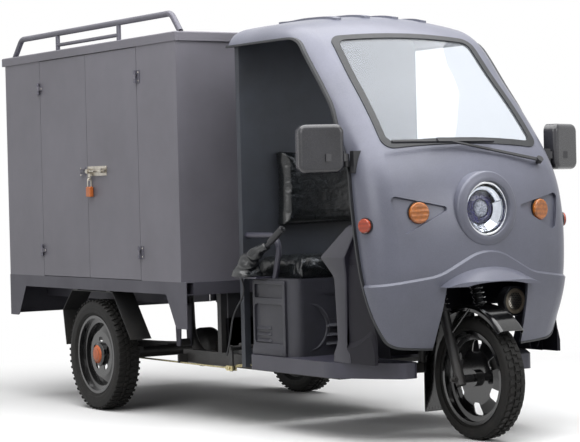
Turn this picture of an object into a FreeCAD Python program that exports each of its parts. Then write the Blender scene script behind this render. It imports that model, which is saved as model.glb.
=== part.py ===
import FreeCAD, Part
import math
import os

os.makedirs("parts", exist_ok=True)

# Frame: millimetres, +Z up, the vehicle looks towards -Y and its right side is -X.
# The origin is on the ground under the middle of the vehicle.

# Small clearances and overruns that every piece shares
overrun = 40
touch = 1e-6
seat_gap = 0.3
running_gap = 0.05
moving_gap = 4

# Wheels
wheel_base = 2179
front_axle_y = -1449
rear_axle_y = front_axle_y + wheel_base
rear_track = 1140
rear_tyre_radius = 265
rear_tyre_width = 116
rear_rim_radius = 178
front_tyre_radius = 251
front_tyre_width = 98
front_rim_radius = 182
tyre_wall = 9
tyre_crown = 7
tyre_bead_width_share = 0.72
tyre_belly_share = 0.45
tyre_round = 22
bead_round = 3
rim_wall = 4
rim_lip = 9
rim_drop = 22
disc_wall = 5
hub_radius = 44
hub_length = 70
window_count = 6
tyre_shoulder_share = 0.86
rim_seat_share = 0.55
rim_well_share = 0.4
disc_knee_share = 0.72
disc_dish = 16
window_round_share = 0.6
window_low_half = 20
window_high_half = 30
front_window_share = 0.66
front_hub_radius = 34
slot_count = 5
slot_height = 22
slot_low_half = 16
slot_high_half = 20
cap_radius = 56
cap_height = 30
cap_wall = 3

# Cab shell
cab_front_y = -1530
cab_rear_y = -350
cab_low_z = 345
cab_top_z = 1780
cab_half_width = 507
cab_wall = 3
seal_start_share = 0.0333333333
cab_leg = 60
cab_rib_count = 22
cab_depth = cab_rear_y - cab_front_y
cab_rise = cab_top_z - cab_low_z
# One rib in each row: depth, rise, half width, corner radius and bow radius as shares
cab_rib_shares = (
    (0.0915, 0.0, 0.868, 0.197, 4.34),
    (0.034, 0.108, 0.927, 0.217, 3.94),
    (0.004, 0.2195, 0.976, 0.237, 3.55),
    (0.0, 0.317, 0.996, 0.247, 3.35),
    (0.0085, 0.4077, 1.0, 0.247, 3.16),
    (0.038, 0.498, 0.996, 0.247, 3.5),
    (0.0975, 0.5819, 0.982, 0.237, 4.6),
    (0.212, 0.7017, 0.972, 0.227, 5.1),
    (0.3458, 0.8202, 0.966, 0.217, 5.1),
    (0.4703, 0.9317, 0.966, 0.207, 4.7),
    (0.5466, 0.9735, 0.966, 0.2, 4.3),
    (0.6483, 0.9944, 0.966, 0.2, 4.1),
    (0.7966, 1.0, 0.966, 0.2, 4.1),
    (1.0, 0.9972, 0.966, 0.2, 4.1),
)
cab_rib_tilts = (0, 0, 0, 0, 0, 4, 18, 33, 44, 56, 72, 84, 90, 90)
# Edge of the open doorway in side view, as depth and rise shares with the rounding of each corner
doorway_shares = ((1.2, 0.9178), (0.5424, 0.9178), (0.322, 0.7073), (0.2017, 0.5206),
                  (0.1508, 0.2195), (0.0975, 0.0188), (-0.3, 0.0188), (-0.3, -0.3), (1.2, -0.3))
doorway_rounds = (0, 120, 400, 250, 500, 70, 0, 0, 0)
belt_depth = 10
belt_ledge_share = 0.85
belt_end_z = 640
belt_knee_z = 678
belt_peak_z = 798
belt_knee_x = 240
belt_knee_round = 260
belt_peak_round = 230
arch_top_z = 665
arch_top_half = 205
arch_low_half = 232
arch_round = 45
roof_rib_count = 4
roof_rib_pitch = 150
roof_rib_width = 34
roof_rib_height = 9
roof_rib_front_y = -830
roof_rib_rear_y = -380

# Headlight and lamps
lamp_z = 937
bulge_radius = 152
bulge_proud = 8
bulge_round = 26
headlight_radius = 110
lamp_set_back = 14
bulge_throat_radius = headlight_radius + seat_gap
headlight_depth = 95
bezel_width = 10
lens_wall = 4
cup_share = 0.62
lamp_rim = 4
lamp_tip_share = 1.4
marker_x = 500
marker_lean = 0.35
signal_x = 308
signal_z = 927
signal_radius = 47
signal_proud = 14
pocket_depth = 13
pocket_rim = 12
pocket_tip_x = 168
pocket_outer_x = 432
pocket_top_z = 1000
pocket_tip_z = 945
pocket_low_z = 838
pocket_low_x = 388
pocket_round = 20
marker_y = -1388
marker_z = 881
marker_radius = 33
marker_proud = 12

# Windscreen: the slope line of the glass in side view, and the outline on that slope
screen_low_y = -1415
screen_low_z = 1180
screen_high_y = -975
screen_high_z = 1682
screen_bottom = 27
screen_top = 667
screen_bottom_half = 397
screen_top_half = 368
screen_round = 52
seal_width = 30
seal_lap = 12
seal_proud = 4
glass_wall = 5
glass_set = 1
glass_bite = 10

# Rubber trim on the doorway edge
trim_lap = 6
trim_over = 3
trim_wall = 2.5

# Hood over the wheel arch
visor_half = 238
visor_root_y = -1500
visor_lip_y = -1597
visor_low_z = 630
visor_root_z = 722
visor_lip_z = 648
visor_bow = 23
visor_wall = 3

# Chassis
rail_x = 420
rail_width = 40
rail_height = 60
rail_top_z = 310
rail_front_y = -1090
rail_rear_y = 190
tube_wall = 3
kick_radius = 21
kick_x = 362
kick_start_y = 70
kick_top_y = 262
kick_bend = 150
upright_y = -150
upright_width = 32
tie_width = 40
tie_ys = (-1090, -620, -330, 60)

# Cab floor and inner panels
floor_top_z = 326
floor_low_z = 262
floor_rear_y = -480
floor_front_y = -1380
floor_half = 500
floor_nose_half = 330
floor_taper_y = -1130
floor_notch_y = -1010
floor_notch_half = 250
floor_round = 70
floor_wall = 3
shield_half = 462
shield_top_z = 880
shield_top_y = -1222
shield_front_y = -1330
shield_back_y = -1078
shield_back_z = 755
shield_low_y = -1165
shield_round = 40
shield_lean = 42
shield_lean_drop = 10
shield_wall = 4
tunnel_half = 232
tunnel_rear_y = -1040
tunnel_top_z = 672
column_hole = 60
post_x = 478
post_width = 30
post_y = -420
wall_sheet = 2
rear_wall_low_z = 640
rear_wall_bead = 6
rear_wall_bead_width = 24
rear_wall_bead_count = 4
rear_wall_bead_low_z = 880
rear_wall_bead_high_z = 1560
seat_half = 470
seat_front_y = -800
seat_rear_y = -490
seat_top_z = 655
seat_round = 55
seat_wall = 5
seat_panel_depth = 2.5
seat_vent_count = 4
seat_vent_pitch = 17
seat_vent_height = 8
seat_vent_length = 64
seat_vent_low_z = 400
seat_panel_low_z = 480
seat_panel_high_z = 590
cushion_half = 430
cushion_front_y = -806
cushion_rear_y = -455
cushion_height = 88
cushion_draw = 7
backrest_half = 312
backrest_low_z = 870
backrest_high_z = 1208
backrest_depth = 78
# Level and size of each cushion section
cushion_level_shares = (0.0, 0.2, 0.5, 0.78, 0.94, 1.0)
cushion_size_shares = (0.955, 0.99, 1.0, 0.965, 0.86, 0.66)
arm_x = 455
arm_radius = 13
arm_top_z = 838
arm_front_y = -695
arm_foot_y = -640
arm_bend = 62

# Parking brake
lever_x = -505
lever_pivot_y = -500
lever_pivot_z = 705
lever_length = 330
lever_angle = 30
lever_radius = 9
lever_grip_radius = 15
lever_grip_length = 120
lever_button_radius = 6
lever_pin_radius = 6
lever_boss_radius = 16
lever_boss_half = 11
lever_plate_wall = 4
lever_plate_length = 170
lever_plate_width = 60
boot_low_radius = 44
boot_high_radius = 17
boot_length = 150
boot_start = 26
boot_wall = 3
boot_pleat_count = 5
boot_pleat = 5

# Foot brake linkage
pedal_x = -320
pedal_width = 74
pedal_length = 120
pedal_wall = 6
pedal_tread_count = 5
pedal_angle = 48
pedal_pin_y = -1000
pedal_pin_radius = 6
pedal_boss_radius = 11
shaft_y = -300
shaft_z = 340
shaft_radius = 10
shaft_arm_x = -478
shaft_arm_width = 8
shaft_arm_length = 88
shaft_arm_radius = 14
shaft_inner_x = -250
lug_wall = 12
lug_round_share = 0.8
lug_radius = 20
brake_rod_radius = 4
brake_rod_rear_y = 610
clevis_length = 46
clevis_width = 26
clevis_height = 22
cable_radius = 4
cable_bend = 60

# Cargo frame and box
box_half = 620
box_front_y = -120
box_rear_y = 1660
box_low_z = 632
box_top_z = 1708
frame_rail_height = 57
frame_rail_width = 40
frame_front_y = -165
frame_rear_y = 1665
long_height = 60
long_front_y = 215
long_rear_y = 1600
cross_ys = (250, 730, 1230)
pan_depth = 20
pan_sheet = 1.5
roof_top_z = 1750
roof_half = 625
roof_front_y = -130
roof_rear_y = 1700
roof_round = 14
gusset_low_z = 424
gusset_wide = 186
gusset_narrow = 98
gusset_wall = 3
gusset_round = 26
skirt_low_z = 432
skirt_half = 575
skirt_sheet = 2
tail_x = 470
tail_z = 500
tail_length = 150
tail_height = 70
tail_depth = 30
tail_round = 18
rack_x = 592
rack_radius = 14
rack_top_z = 1836
rack_front_y = -118
rack_front_bend_y = -40
rack_rear_bend_y = 1510
rack_rear_y = 1596
rack_bend = 60
rack_post_ys = (460, 1100)
rack_post_radius = 11
rack_bar_z = 1778
rack_bar_radius = 9

# Side doors, hinges, slide bolt and padlock
door_front_y = 247
door_meet_y = 760
door_rear_y = 1260
door_gap = 3
door_depth = 18
hinge_zs = (732, 1540)
hinge_height = 58
hinge_leaf = 30
hinge_wall = 3
hinge_pin_radius = 3
hinge_knuckle_radius = 6.5
bolt_z = 1145
bolt_radius = 5
bolt_start_y = 560
bolt_end_y = 752
bolt_out = 14
bolt_plate_height = 46
bolt_lug_width = 18
bolt_lug_height = 22
bolt_knob_length = 22
keeper_y = 782
keeper_length = 52
padlock_y = 716
padlock_eye_drop = 20
padlock_eye_radius = 6
padlock_drop = 42
padlock_width = 42
padlock_height = 60
padlock_depth = 20
padlock_shackle_radius = 3
padlock_shackle_half = 9
padlock_round = 6
padlock_low_share = 0.75

# Mudguards
guard_inner_x = 506
guard_outer_x = 616
guard_sheet = 3
guard_top_z = 570
guard_front_low_y = 372
guard_front_low_z = 352
guard_front_y = 545
guard_rear_y = 965
guard_kink_y = 1072
guard_kink_z = 468
guard_kink_share = 1.5
guard_rear_low_y = 1042
guard_rear_low_z = 298

# Battery pack
battery_half = 190
battery_length = 330
battery_height = 150
battery_gap = 8
battery_front_y = -272
battery_round = 8
battery_tray = 4

# Rear axle and leaf springs
axle_tube_radius = 30
axle_half = 505
axle_stub_radius = 15
brake_plate_radius = 96
brake_plate_width = 14
diff_radius = 96
diff_half = 75
motor_radius = 78
motor_length = 240
motor_x = 110
diff_neck_share = 0.55
motor_neck_share = 0.7
leaf_count = 4
leaf_wall = 7
leaf_width = 50
leaf_length = 1030
leaf_length_shares = (1.0, 0.78, 0.55, 0.33)
leaf_sag = 14
eye_radius = 17
eye_pin_radius = 8
hanger_wall = 6
hanger_length = 60
clamp_length = 110
clamp_wall = 8
clamp_rod_radius = 5

# Front fork; heights along the fork are counted from the wheel axle
fork_rake = 20
fork_half = 98
fork_offset = 40
slider_radius = 21
slider_top = 292
slider_low = -26
slider_bore_low = 110
fork_travel = 45
stanchion_radius = 15
collar_radius = 31
collar_height = 8
crown_low = 468
crown_height = 24
crown_reach = 30
stem_radius = 13
stem_top = 836
head_low = 500
head_top = 650
head_radius = 29
downtube_radius = 22
spring_radius = 26
spring_wire = 3.6
spring_turns = 8
spring_turn_steps = 4
spring_gap = 1
front_axle_radius = 8
axle_nut_radius = 14
nut_sides = 6
axle_nut_width = 12
bar_height = 815
bar_radius = 11
bar_half = 300
bar_sweep = 70
bar_rise = 26
bar_mid = 105
bar_bend_x = 185
bar_bend = 40
grip_length = 118
grip_radius = 17
grip_end_gap = 3
dash_width = 190
dash_depth = 100
dash_height = 46
dash_round = 16
fender_radius = 300
fender_half = 62
fender_side = 26
fender_sheet = 3
fender_front_angle = 48
fender_rear_angle = 88
fender_round = 14
flap_width = 104
flap_low_z = 92
flap_sheet = 4
flap_teeth = 7
flap_tooth = 26
stay_radius = 5
horn_x = 225
horn_radius = 62
horn_depth = 46
horn_z = 550
horn_y = -1420
horn_face = 8
horn_back_y = -1255
stay_share = 0.62
stay_angle = -5
grip_flange_share = 1.5
dash_top_share = 0.8

# Mirrors and wiper
mirror_x = 623
mirror_y = -1260
mirror_z = 1190
mirror_width = 187
mirror_height = 195
mirror_depth = 62
mirror_turn = 20
mirror_round = 34
mirror_pin_x = 521
mirror_pin_y = -1292
mirror_arm_z = 1128
mirror_arm_height = 22
mirror_arm_width = 20
mirror_pin_radius = 6
mirror_boss_radius = 11
mirror_boss_height = 30
bracket_height = 88
bracket_width = 26
bracket_y = -1312
bracket_z = 1136
bracket_wall = 5
wiper_x = 350
wiper_s = -52
wiper_low = -16
wiper_out = 20
wiper_blade_s = 20
wiper_blade_mid_x = -132
wiper_blade_length = 516
wiper_arm_width = 16
wiper_arm_height = 6
wiper_blade_width = 10
wiper_blade_height = 12
wiper_pin_radius = 7
wiper_boss_radius = 15
wiper_clip_share = 0.14
pin_rim_steps = 24
mirror_nose_share = 0.6
mirror_glass_share = 0.88
mirror_plate_x = 503
bracket_reach = 60


def at(x, y, z):
    return FreeCAD.Vector(x, y, z)


def block(x0, x1, y0, y1, z0, z1):
    return Part.makeBox(x1 - x0, y1 - y0, z1 - z0, at(x0, y0, z0))


def rod(start, end, radius):
    run = end.sub(start)
    return Part.makeCylinder(radius, run.Length, start, run)


def mirrored(shape):
    return shape.mirror(at(0, 0, 0), at(1, 0, 0))


def both(shape):
    return [shape, mirrored(shape)]


def joined(shapes):
    first = shapes[0]
    if len(shapes) == 1:
        return first
    return first.fuse(shapes[1:]).removeSplitter()


# Rounded corner: where the arc starts, its middle and its end
def corner_arc(before, corner, after, radius):
    back = before.sub(corner).normalize()
    ahead = after.sub(corner).normalize()
    half = back.getAngle(ahead) / 2
    run = radius / math.tan(half)
    inward = back.add(ahead).normalize()
    reach = radius / math.sin(half) - radius
    return corner.add(back * run), corner.add(inward * reach), corner.add(ahead * run)


# Closed wire through (u, v) corners, each rounded by its radius, laid into space by place
def outline(corners, rounds, place):
    points = [place(u, v) for u, v in corners]
    count = len(points)
    pieces = []
    for i in range(count):
        if rounds[i] > 0:
            pieces.append(corner_arc(points[i - 1], points[i], points[(i + 1) % count], rounds[i]))
        else:
            pieces.append((points[i], None, points[i]))
    edges = []
    for i in range(count):
        start, middle, end = pieces[i]
        if middle is not None:
            edges.append(Part.Arc(start, middle, end).toShape())
        following = pieces[(i + 1) % count][0]
        if following.sub(end).Length > touch:
            edges.append(Part.LineSegment(end, following).toShape())
    return Part.Wire(edges)


# Open path of straight runs and tangent bends
def bent_path(points, bend):
    edges = []
    last = points[0]
    for i in range(1, len(points) - 1):
        start, middle, end = corner_arc(points[i - 1], points[i], points[i + 1], bend)
        if start.sub(last).Length > touch:
            edges.append(Part.LineSegment(last, start).toShape())
        edges.append(Part.Arc(start, middle, end).toShape())
        last = end
    edges.append(Part.LineSegment(last, points[-1]).toShape())
    return Part.Wire(edges)


def pipe(points, bend, radius):
    path = bent_path(points, bend)
    ring = Part.Wire(Part.makeCircle(radius, points[0], points[1].sub(points[0])))
    return path.makePipeShell([ring], True, False)


def on_side(x):
    return lambda y, z: at(x, y, z)


def on_front(y):
    return lambda x, z: at(x, y, z)


def on_plan(z):
    return lambda x, y: at(x, y, z)


def prism(wire, run):
    return Part.Face(wire).extrude(run)


def side_prism(corners, rounds, x0, x1):
    return prism(outline(corners, rounds, on_side(x0)), at(x1 - x0, 0, 0))


def front_prism(corners, rounds, y0, y1):
    return prism(outline(corners, rounds, on_front(y0)), at(0, y1 - y0, 0))


def plan_prism(corners, rounds, z0, z1):
    return prism(outline(corners, rounds, on_plan(z0)), at(0, 0, z1 - z0))


def save(node, shapes):
    solids = []
    for shape in shapes:
        solids.extend(shape.Solids)
    bad = [s for s in solids if not s.isValid() or s.Volume <= 0]
    print(node, len(solids), "solids", "bad", len(bad))
    Part.makeCompound(solids).exportStep("parts/" + node + ".step")


# The cab skin is a loft through U-shaped ribs: a bowed front, two corner arcs and two legs
def rib_sizes(row, tilt):
    depth, rise, half, corner, bow = row
    y = cab_front_y + depth * cab_depth
    z = cab_low_z + rise * cab_rise
    half = half * cab_half_width
    corner = corner * cab_half_width
    bow = bow * cab_half_width
    lean = math.radians(tilt)
    inner = half - corner
    corner_d = bow - math.sqrt((bow - corner) ** 2 - inner ** 2)

    def place(x, d):
        return at(x, y + d * math.cos(lean), z - d * math.sin(lean))
    return half, corner, bow, inner, corner_d, place


# Points of one rib at a distance outside the skin: leg end, leg start, corner, tangent, middle
def rib_points(sizes, out):
    half, corner, bow, inner, corner_d, place = sizes
    ux = inner / (bow - corner)
    ud = (corner_d - bow) / (bow - corner)
    mid = math.hypot(1 + ux, ud)
    leg_end = (half + out, corner_d + cab_leg)
    leg_start = (half + out, corner_d)
    corner_mid = (inner + (1 + ux) / mid * (corner + out), corner_d + ud / mid * (corner + out))
    tangent = (ux * (bow + out), bow + ud * (bow + out))
    return leg_end, leg_start, corner_mid, tangent, (0, -out)


def rib_edges(sizes, out):
    place = sizes[-1]
    leg_end, leg_start, corner_mid, tangent, middle = rib_points(sizes, out)

    def left(point):
        return place(-point[0], point[1])

    def right(point):
        return place(point[0], point[1])
    return [
        Part.LineSegment(right(leg_end), right(leg_start)).toShape(),
        Part.Arc(right(leg_start), right(corner_mid), right(tangent)).toShape(),
        Part.Arc(right(tangent), right(middle), left(tangent)).toShape(),
        Part.Arc(left(tangent), left(corner_mid), left(leg_start)).toShape(),
        Part.LineSegment(left(leg_start), left(leg_end)).toShape(),
    ]


# Value of a column of the rib table between its rows, without overshoot
def between(stops, values, stop):
    i = max(k for k in range(len(stops) - 1) if stops[k] <= stop + touch)
    slopes = [(values[k + 1] - values[k]) / (stops[k + 1] - stops[k]) for k in range(len(stops) - 1)]

    def pace(k):
        if k == 0:
            return slopes[0]
        if k == len(slopes):
            return slopes[-1]
        if slopes[k - 1] * slopes[k] <= 0:
            return 0
        return 2 * slopes[k - 1] * slopes[k] / (slopes[k - 1] + slopes[k])
    span = stops[i + 1] - stops[i]
    t = (stop - stops[i]) / span
    rise = t * t * (3 - 2 * t)
    return (values[i] + (values[i + 1] - values[i]) * rise
            + span * (pace(i) * t * (1 - t) ** 2 - pace(i + 1) * t * t * (1 - t)))


# Ribs at even steps along the middle line of the cab
def all_ribs():
    stops = [0]
    for low, high in zip(cab_rib_shares, cab_rib_shares[1:]):
        stops.append(stops[-1] + math.hypot((high[0] - low[0]) * cab_depth,
                                            (high[1] - low[1]) * cab_rise))
    columns = list(zip(*cab_rib_shares))
    ribs = []
    for i in range(cab_rib_count):
        stop = stops[-1] * i / (cab_rib_count - 1)
        row = [between(stops, column, stop) for column in columns]
        ribs.append(rib_sizes(row, between(stops, cab_rib_tilts, stop)))
    return ribs


def rib_ends(sizes, out):
    edges = rib_edges(sizes, out)
    return edges[0].firstVertex().Point, edges[-1].lastVertex().Point


# Closed skin between two distances from the cab's outer face
def skin(out, inset):
    wires = []
    for sizes in all_ribs():
        outer = rib_edges(sizes, out)
        inner = rib_edges(sizes, inset)
        right_out, left_out = rib_ends(sizes, out)
        right_in, left_in = rib_ends(sizes, inset)
        ends = [Part.LineSegment(left_out, left_in).toShape(),
                Part.LineSegment(right_in, right_out).toShape()]
        wires.append(Part.Wire(Part.__sortEdges__(outer + inner + ends)))
    return Part.makeLoft(wires, True, False)


# Everything inside a distance from the cab's outer face
def inside(out):
    wires = []
    for sizes in all_ribs():
        right, left = rib_ends(sizes, out)
        wires.append(Part.Wire(rib_edges(sizes, out) + [Part.LineSegment(left, right).toShape()]))
    return Part.makeLoft(wires, True, False)


def doorway(grow):
    corners = [(cab_front_y + d * cab_depth, cab_low_z + r * cab_rise) for d, r in doorway_shares]
    wire = outline(corners, doorway_rounds, on_side(-cab_half_width - overrun))
    if grow:
        wire = wire.makeOffset2D(grow)
    return prism(wire, at(2 * (cab_half_width + overrun), 0, 0))


def wheel_arch(grow):
    low = cab_low_z - overrun
    half_low = arch_low_half + grow
    half_top = arch_top_half + grow
    top = arch_top_z + grow
    corners = ((-half_low, low), (-half_top, top), (half_top, top), (half_low, low))
    rounds = (0, arch_round, arch_round, 0)
    return front_prism(corners, rounds, cab_front_y - 2 * overrun - belt_depth,
                       cab_front_y + cab_depth / 2)


# Place on the windscreen slope: across, up the slope and out from it
def on_screen(x, s, h):
    run_y = screen_high_y - screen_low_y
    run_z = screen_high_z - screen_low_z
    length = math.hypot(run_y, run_z)
    uy = run_y / length
    uz = run_z / length
    return at(x, screen_low_y + s * uy - h * uz, screen_low_z + s * uz + h * uy)


def screen_prism(inset):
    bottom = screen_bottom + inset
    top = screen_top - inset
    low = screen_bottom_half - inset
    high = screen_top_half - inset
    corners = ((-low, bottom), (low, bottom), (high, top), (-high, top))
    rounds = [screen_round - inset / 2] * len(corners)
    reach = bulge_radius
    wire = outline(corners, rounds, lambda x, s: on_screen(x, s, reach))
    return prism(wire, on_screen(0, 0, -reach).sub(on_screen(0, 0, reach)))


def signal_pocket(grow):
    corners = ((pocket_outer_x + grow, pocket_top_z + grow), (pocket_tip_x - grow, pocket_tip_z),
               (pocket_low_x + grow, pocket_low_z - grow))
    rounds = (pocket_round, pocket_round / 2, pocket_round)
    return front_prism(corners, rounds, cab_front_y - overrun, cab_front_y + cab_depth / 4)


# Thick lower panel under the arched belt line, with its top edge chamfered into a sloping ledge
def belt_body():
    wide = cab_half_width + overrun
    low = cab_low_z - overrun
    corners = ((-wide, low), (-wide, belt_end_z), (-belt_knee_x, belt_knee_z), (0, belt_peak_z),
               (belt_knee_x, belt_knee_z), (wide, belt_end_z), (wide, low))
    rounds = (0, 0, belt_knee_round, belt_peak_round, belt_knee_round, 0, 0)
    below = front_prism(corners, rounds, cab_front_y - cab_depth / 2, cab_front_y + cab_depth / 2)
    panel = skin(belt_depth, -cab_wall / 2).common(below)
    rim = inside(belt_depth / 2)
    ledge = []
    for edge in panel.Edges:
        middle = edge.valueAt((edge.FirstParameter + edge.LastParameter) / 2)
        top = middle.z > belt_end_z and edge.Length > 2 * belt_depth
        ahead = middle.y < cab_front_y + cab_depth / 8
        if top and ahead and not rim.isInside(middle, touch, True):
            ledge.append(edge)
    return panel.makeChamfer(belt_depth * belt_ledge_share, ledge)


def headlight_ring(profile):
    wire = outline(profile[0], profile[1], lambda r, y: at(r, y, lamp_z))
    return Part.Face(wire).revolve(at(0, 0, lamp_z), at(0, 1, 0), 360)


def roof_ribs():
    raised = skin(roof_rib_height, -cab_wall / 2)
    half = roof_rib_width / 2
    ribs = []
    for i in range(roof_rib_count):
        x = (i - (roof_rib_count - 1) / 2) * roof_rib_pitch
        corners = ((x - half, roof_rib_front_y), (x + half, roof_rib_front_y),
                   (x + half, roof_rib_rear_y), (x - half, roof_rib_rear_y))
        bar = plan_prism(corners, [half / 2] * len(corners), cab_top_z - 2 * overrun, cab_top_z + overrun)
        ribs.append(raised.common(bar))
    return ribs


def cab_shell():
    face = cab_front_y + belt_depth
    front = cab_front_y - bulge_proud
    bulge = headlight_ring((((bulge_throat_radius, front), (bulge_radius - bulge_round, front),
                             (bulge_radius, cab_front_y), (bulge_radius, face + overrun),
                             (bulge_throat_radius, face + overrun)),
                            (cab_wall, bulge_round, bulge_round / 2, 0, 0)))
    bulge = bulge.cut(inside(-cab_wall / 2))
    throat = headlight_ring((((0, front - overrun), (bulge_throat_radius, front - overrun),
                              (bulge_throat_radius, face + 2 * overrun), (0, face + 2 * overrun)),
                             (0, 0, 0, 0)))
    backing = skin(-cab_wall / 2, -cab_wall - pocket_depth)
    hollow = skin(pocket_depth, -pocket_depth)
    shell = skin(0, -cab_wall).cut([doorway(0), screen_prism(seal_lap), wheel_arch(0)])
    shell = shell.fuse([backing.common(pocket) for pocket in both(signal_pocket(pocket_rim))])
    shell = shell.cut([hollow.common(pocket) for pocket in both(signal_pocket(0))])
    shell = shell.fuse(belt_body().cut([doorway(0), wheel_arch(0)]))
    for rib in roof_ribs():
        shell = shell.fuse(rib)
    return shell.cut(throat).fuse(bulge)


def cab_pieces():
    shell = cab_shell()
    glass = skin(-glass_set, -glass_set - glass_wall).common(screen_prism(seal_width - glass_bite))
    band = skin(seal_proud, -glass_set - glass_wall - seal_proud)
    ring = screen_prism(0).cut(screen_prism(seal_width))
    seal = band.common(ring).cut([shell, glass])
    strip = doorway(trim_lap).cut(doorway(-trim_over))
    ahead = block(-cab_half_width - overrun, cab_half_width + overrun, cab_front_y + cab_depth * seal_start_share,
                  cab_rear_y, cab_low_z, cab_top_z)
    trim = skin(belt_depth + trim_wall, -cab_wall - trim_wall).common(strip).common(ahead)
    trim = trim.cut([shell, wheel_arch(0)])
    return shell, glass, seal, trim


def box_tube_y(x0, x1, y0, y1, z0, z1):
    outer = block(x0, x1, y0, y1, z0, z1)
    return outer.cut(block(x0 + tube_wall, x1 - tube_wall, y0 - overrun, y1 + overrun, z0 + tube_wall,
                           z1 - tube_wall))


def box_tube_x(x0, x1, y0, y1, z0, z1):
    outer = block(x0, x1, y0, y1, z0, z1)
    return outer.cut(block(x0 - overrun, x1 + overrun, y0 + tube_wall, y1 - tube_wall, z0 + tube_wall,
                           z1 - tube_wall))


def box_tube_z(x0, x1, y0, y1, z0, z1):
    outer = block(x0, x1, y0, y1, z0, z1)
    return outer.cut(block(x0 + tube_wall, x1 - tube_wall, y0 + tube_wall, y1 - tube_wall, z0 - overrun,
                           z1 + overrun))


# Ring turned about a wheel's axle; the profile is in (across, radius)
def turned(corners, rounds, y, z):
    wire = outline(corners, rounds, lambda x, r: at(x, y, z + r))
    return Part.Face(wire).revolve(at(0, y, z), at(1, 0, 0), 360)


def tyre(x, y, radius, width, rim_radius):
    bead = width / 2 * tyre_bead_width_share
    belly = width / 2
    belly_r = rim_radius + tyre_belly_share * (radius - rim_radius)
    shoulder = width / 2 * tyre_shoulder_share
    top = radius - tyre_crown
    collar = rim_radius + rim_lip + bead_round
    half = [(bead, rim_radius), (bead, collar), (belly, belly_r), (shoulder, top)]
    inner = [(shoulder - tyre_wall, top - tyre_wall), (belly - tyre_wall, belly_r),
             (bead - tyre_wall, rim_radius)]
    right = half + [(0, radius)] + [(-a, r) for a, r in reversed(half)]
    left = [(-a, r) for a, r in reversed(inner)] + inner
    corners = [(x + a, r) for a, r in right + left]
    outside = [bead_round, bead_round, tyre_round, tyre_round / 2]
    rounds = outside + [radius / 2] + outside[::-1] + [bead_round] + [tyre_wall] * 4 + [bead_round]
    return turned(corners, rounds, y, radius)


# Drop-centre rim with a dished disc; side is the way the disc bulges along X
def rim(x, y, z, width, rim_radius, side):
    seat = rim_radius - seat_gap
    b = width / 2 * tyre_bead_width_share + seat_gap
    f = b + rim_wall
    drop = rim_radius - rim_drop
    lip = rim_radius + rim_lip
    upper = [(-f, lip), (-b, lip), (-b, seat), (-b * rim_seat_share, seat), (-b * rim_well_share, drop)]
    under = [(b * rim_well_share, drop - rim_wall), (b * rim_seat_share, seat - rim_wall),
             (f, seat - rim_wall)]
    corners = upper + [(-a, r) for a, r in reversed(upper)]
    corners = corners + list(reversed(under)) + [(-a, r) for a, r in under]
    barrel = turned([(x + a, r) for a, r in corners], [0] * len(corners), y, z)
    root = drop - rim_wall / 2
    knee = root * disc_knee_share
    dish = disc_dish
    disc_corners = ((0, root), (dish, knee), (dish, hub_radius / 2), (dish - disc_wall, hub_radius / 2),
                    (dish - disc_wall, knee), (-disc_wall, root))
    disc = turned([(x + side * a, r) for a, r in disc_corners], (0, disc_dish, 0, 0, disc_dish, 0), y, z)
    return barrel, disc


# Rounded windows on a circle of the disc
def windows(x, y, z, count, low, high, low_half, high_half, turn):
    cuts = []
    reach = rear_tyre_width
    for i in range(count):
        corners = ((-low_half, low), (low_half, low), (high_half, high), (-high_half, high))
        wire = outline(corners, [low_half * window_round_share] * len(corners),
                       lambda v, w: at(x - reach, y + v, z + w))
        window = prism(wire, at(2 * reach, 0, 0))
        window.rotate(at(x, y, z), at(1, 0, 0), turn + i * 360 / count)
        cuts.append(window)
    return cuts


def rear_wheel(side):
    x = side * rear_track / 2
    y = rear_axle_y
    z = rear_tyre_radius
    barrel, disc = rim(x, y, z, rear_tyre_width, rear_rim_radius, side)
    hub = rod(at(x - side * hub_length / 2, y, z), at(x + side * disc_dish, y, z), hub_radius)
    wheel = joined([barrel, disc, hub])
    low = cap_radius + disc_wall
    slots = windows(x, y, z, slot_count, low, low + slot_height, slot_low_half, slot_high_half, 0)
    wheel = wheel.cut(slots)
    nose = x + side * (disc_dish + moving_gap)
    bore = rod(at(x - side * hub_length, y, z), at(nose, y, z), axle_stub_radius + running_gap)
    wheel = wheel.cut(bore)
    face = disc_dish
    crown = face + cap_height
    shell = ((face, cap_radius), (face + cap_height / 2, cap_radius), (crown, cap_radius / 2), (crown, 0),
             (crown - cap_wall, 0), (crown - cap_wall, cap_radius / 2),
             (face + cap_height / 2, cap_radius - cap_wall), (face, cap_radius - cap_wall))
    rounds = (0, cap_wall, cap_radius / 4, 0, 0, cap_radius / 4, cap_wall, 0)
    cap = turned([(x + side * a, r) for a, r in shell], rounds, y, z)
    return wheel, cap


def front_wheel():
    y = front_axle_y
    z = front_tyre_radius
    barrel, disc = rim(0, y, z, front_tyre_width, front_rim_radius, -1)
    hub = rod(at(-hub_length / 2, y, z), at(hub_length / 2, y, z), front_hub_radius)
    wheel = joined([barrel, disc, hub])
    high = front_rim_radius - rim_drop - 2 * rim_wall
    low = high * front_window_share
    wheel = wheel.cut(windows(0, y, z, window_count, low, high, window_low_half, window_high_half, 0))
    return wheel.cut(rod(at(-hub_length, y, z), at(hub_length, y, z), front_axle_radius + running_gap))


# Fork pieces are made upright with the wheel axle at the origin, then leaned back onto the wheel
def raked(shape):
    leaned = shape.copy()
    leaned.rotate(at(0, 0, 0), at(1, 0, 0), -fork_rake)
    leaned.translate(at(0, front_axle_y, front_tyre_radius))
    return leaned


def raked_point(x, y, z):
    lean = math.radians(fork_rake)
    return at(x, front_axle_y + y * math.cos(lean) + z * math.sin(lean),
              front_tyre_radius - y * math.sin(lean) + z * math.cos(lean))


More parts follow.
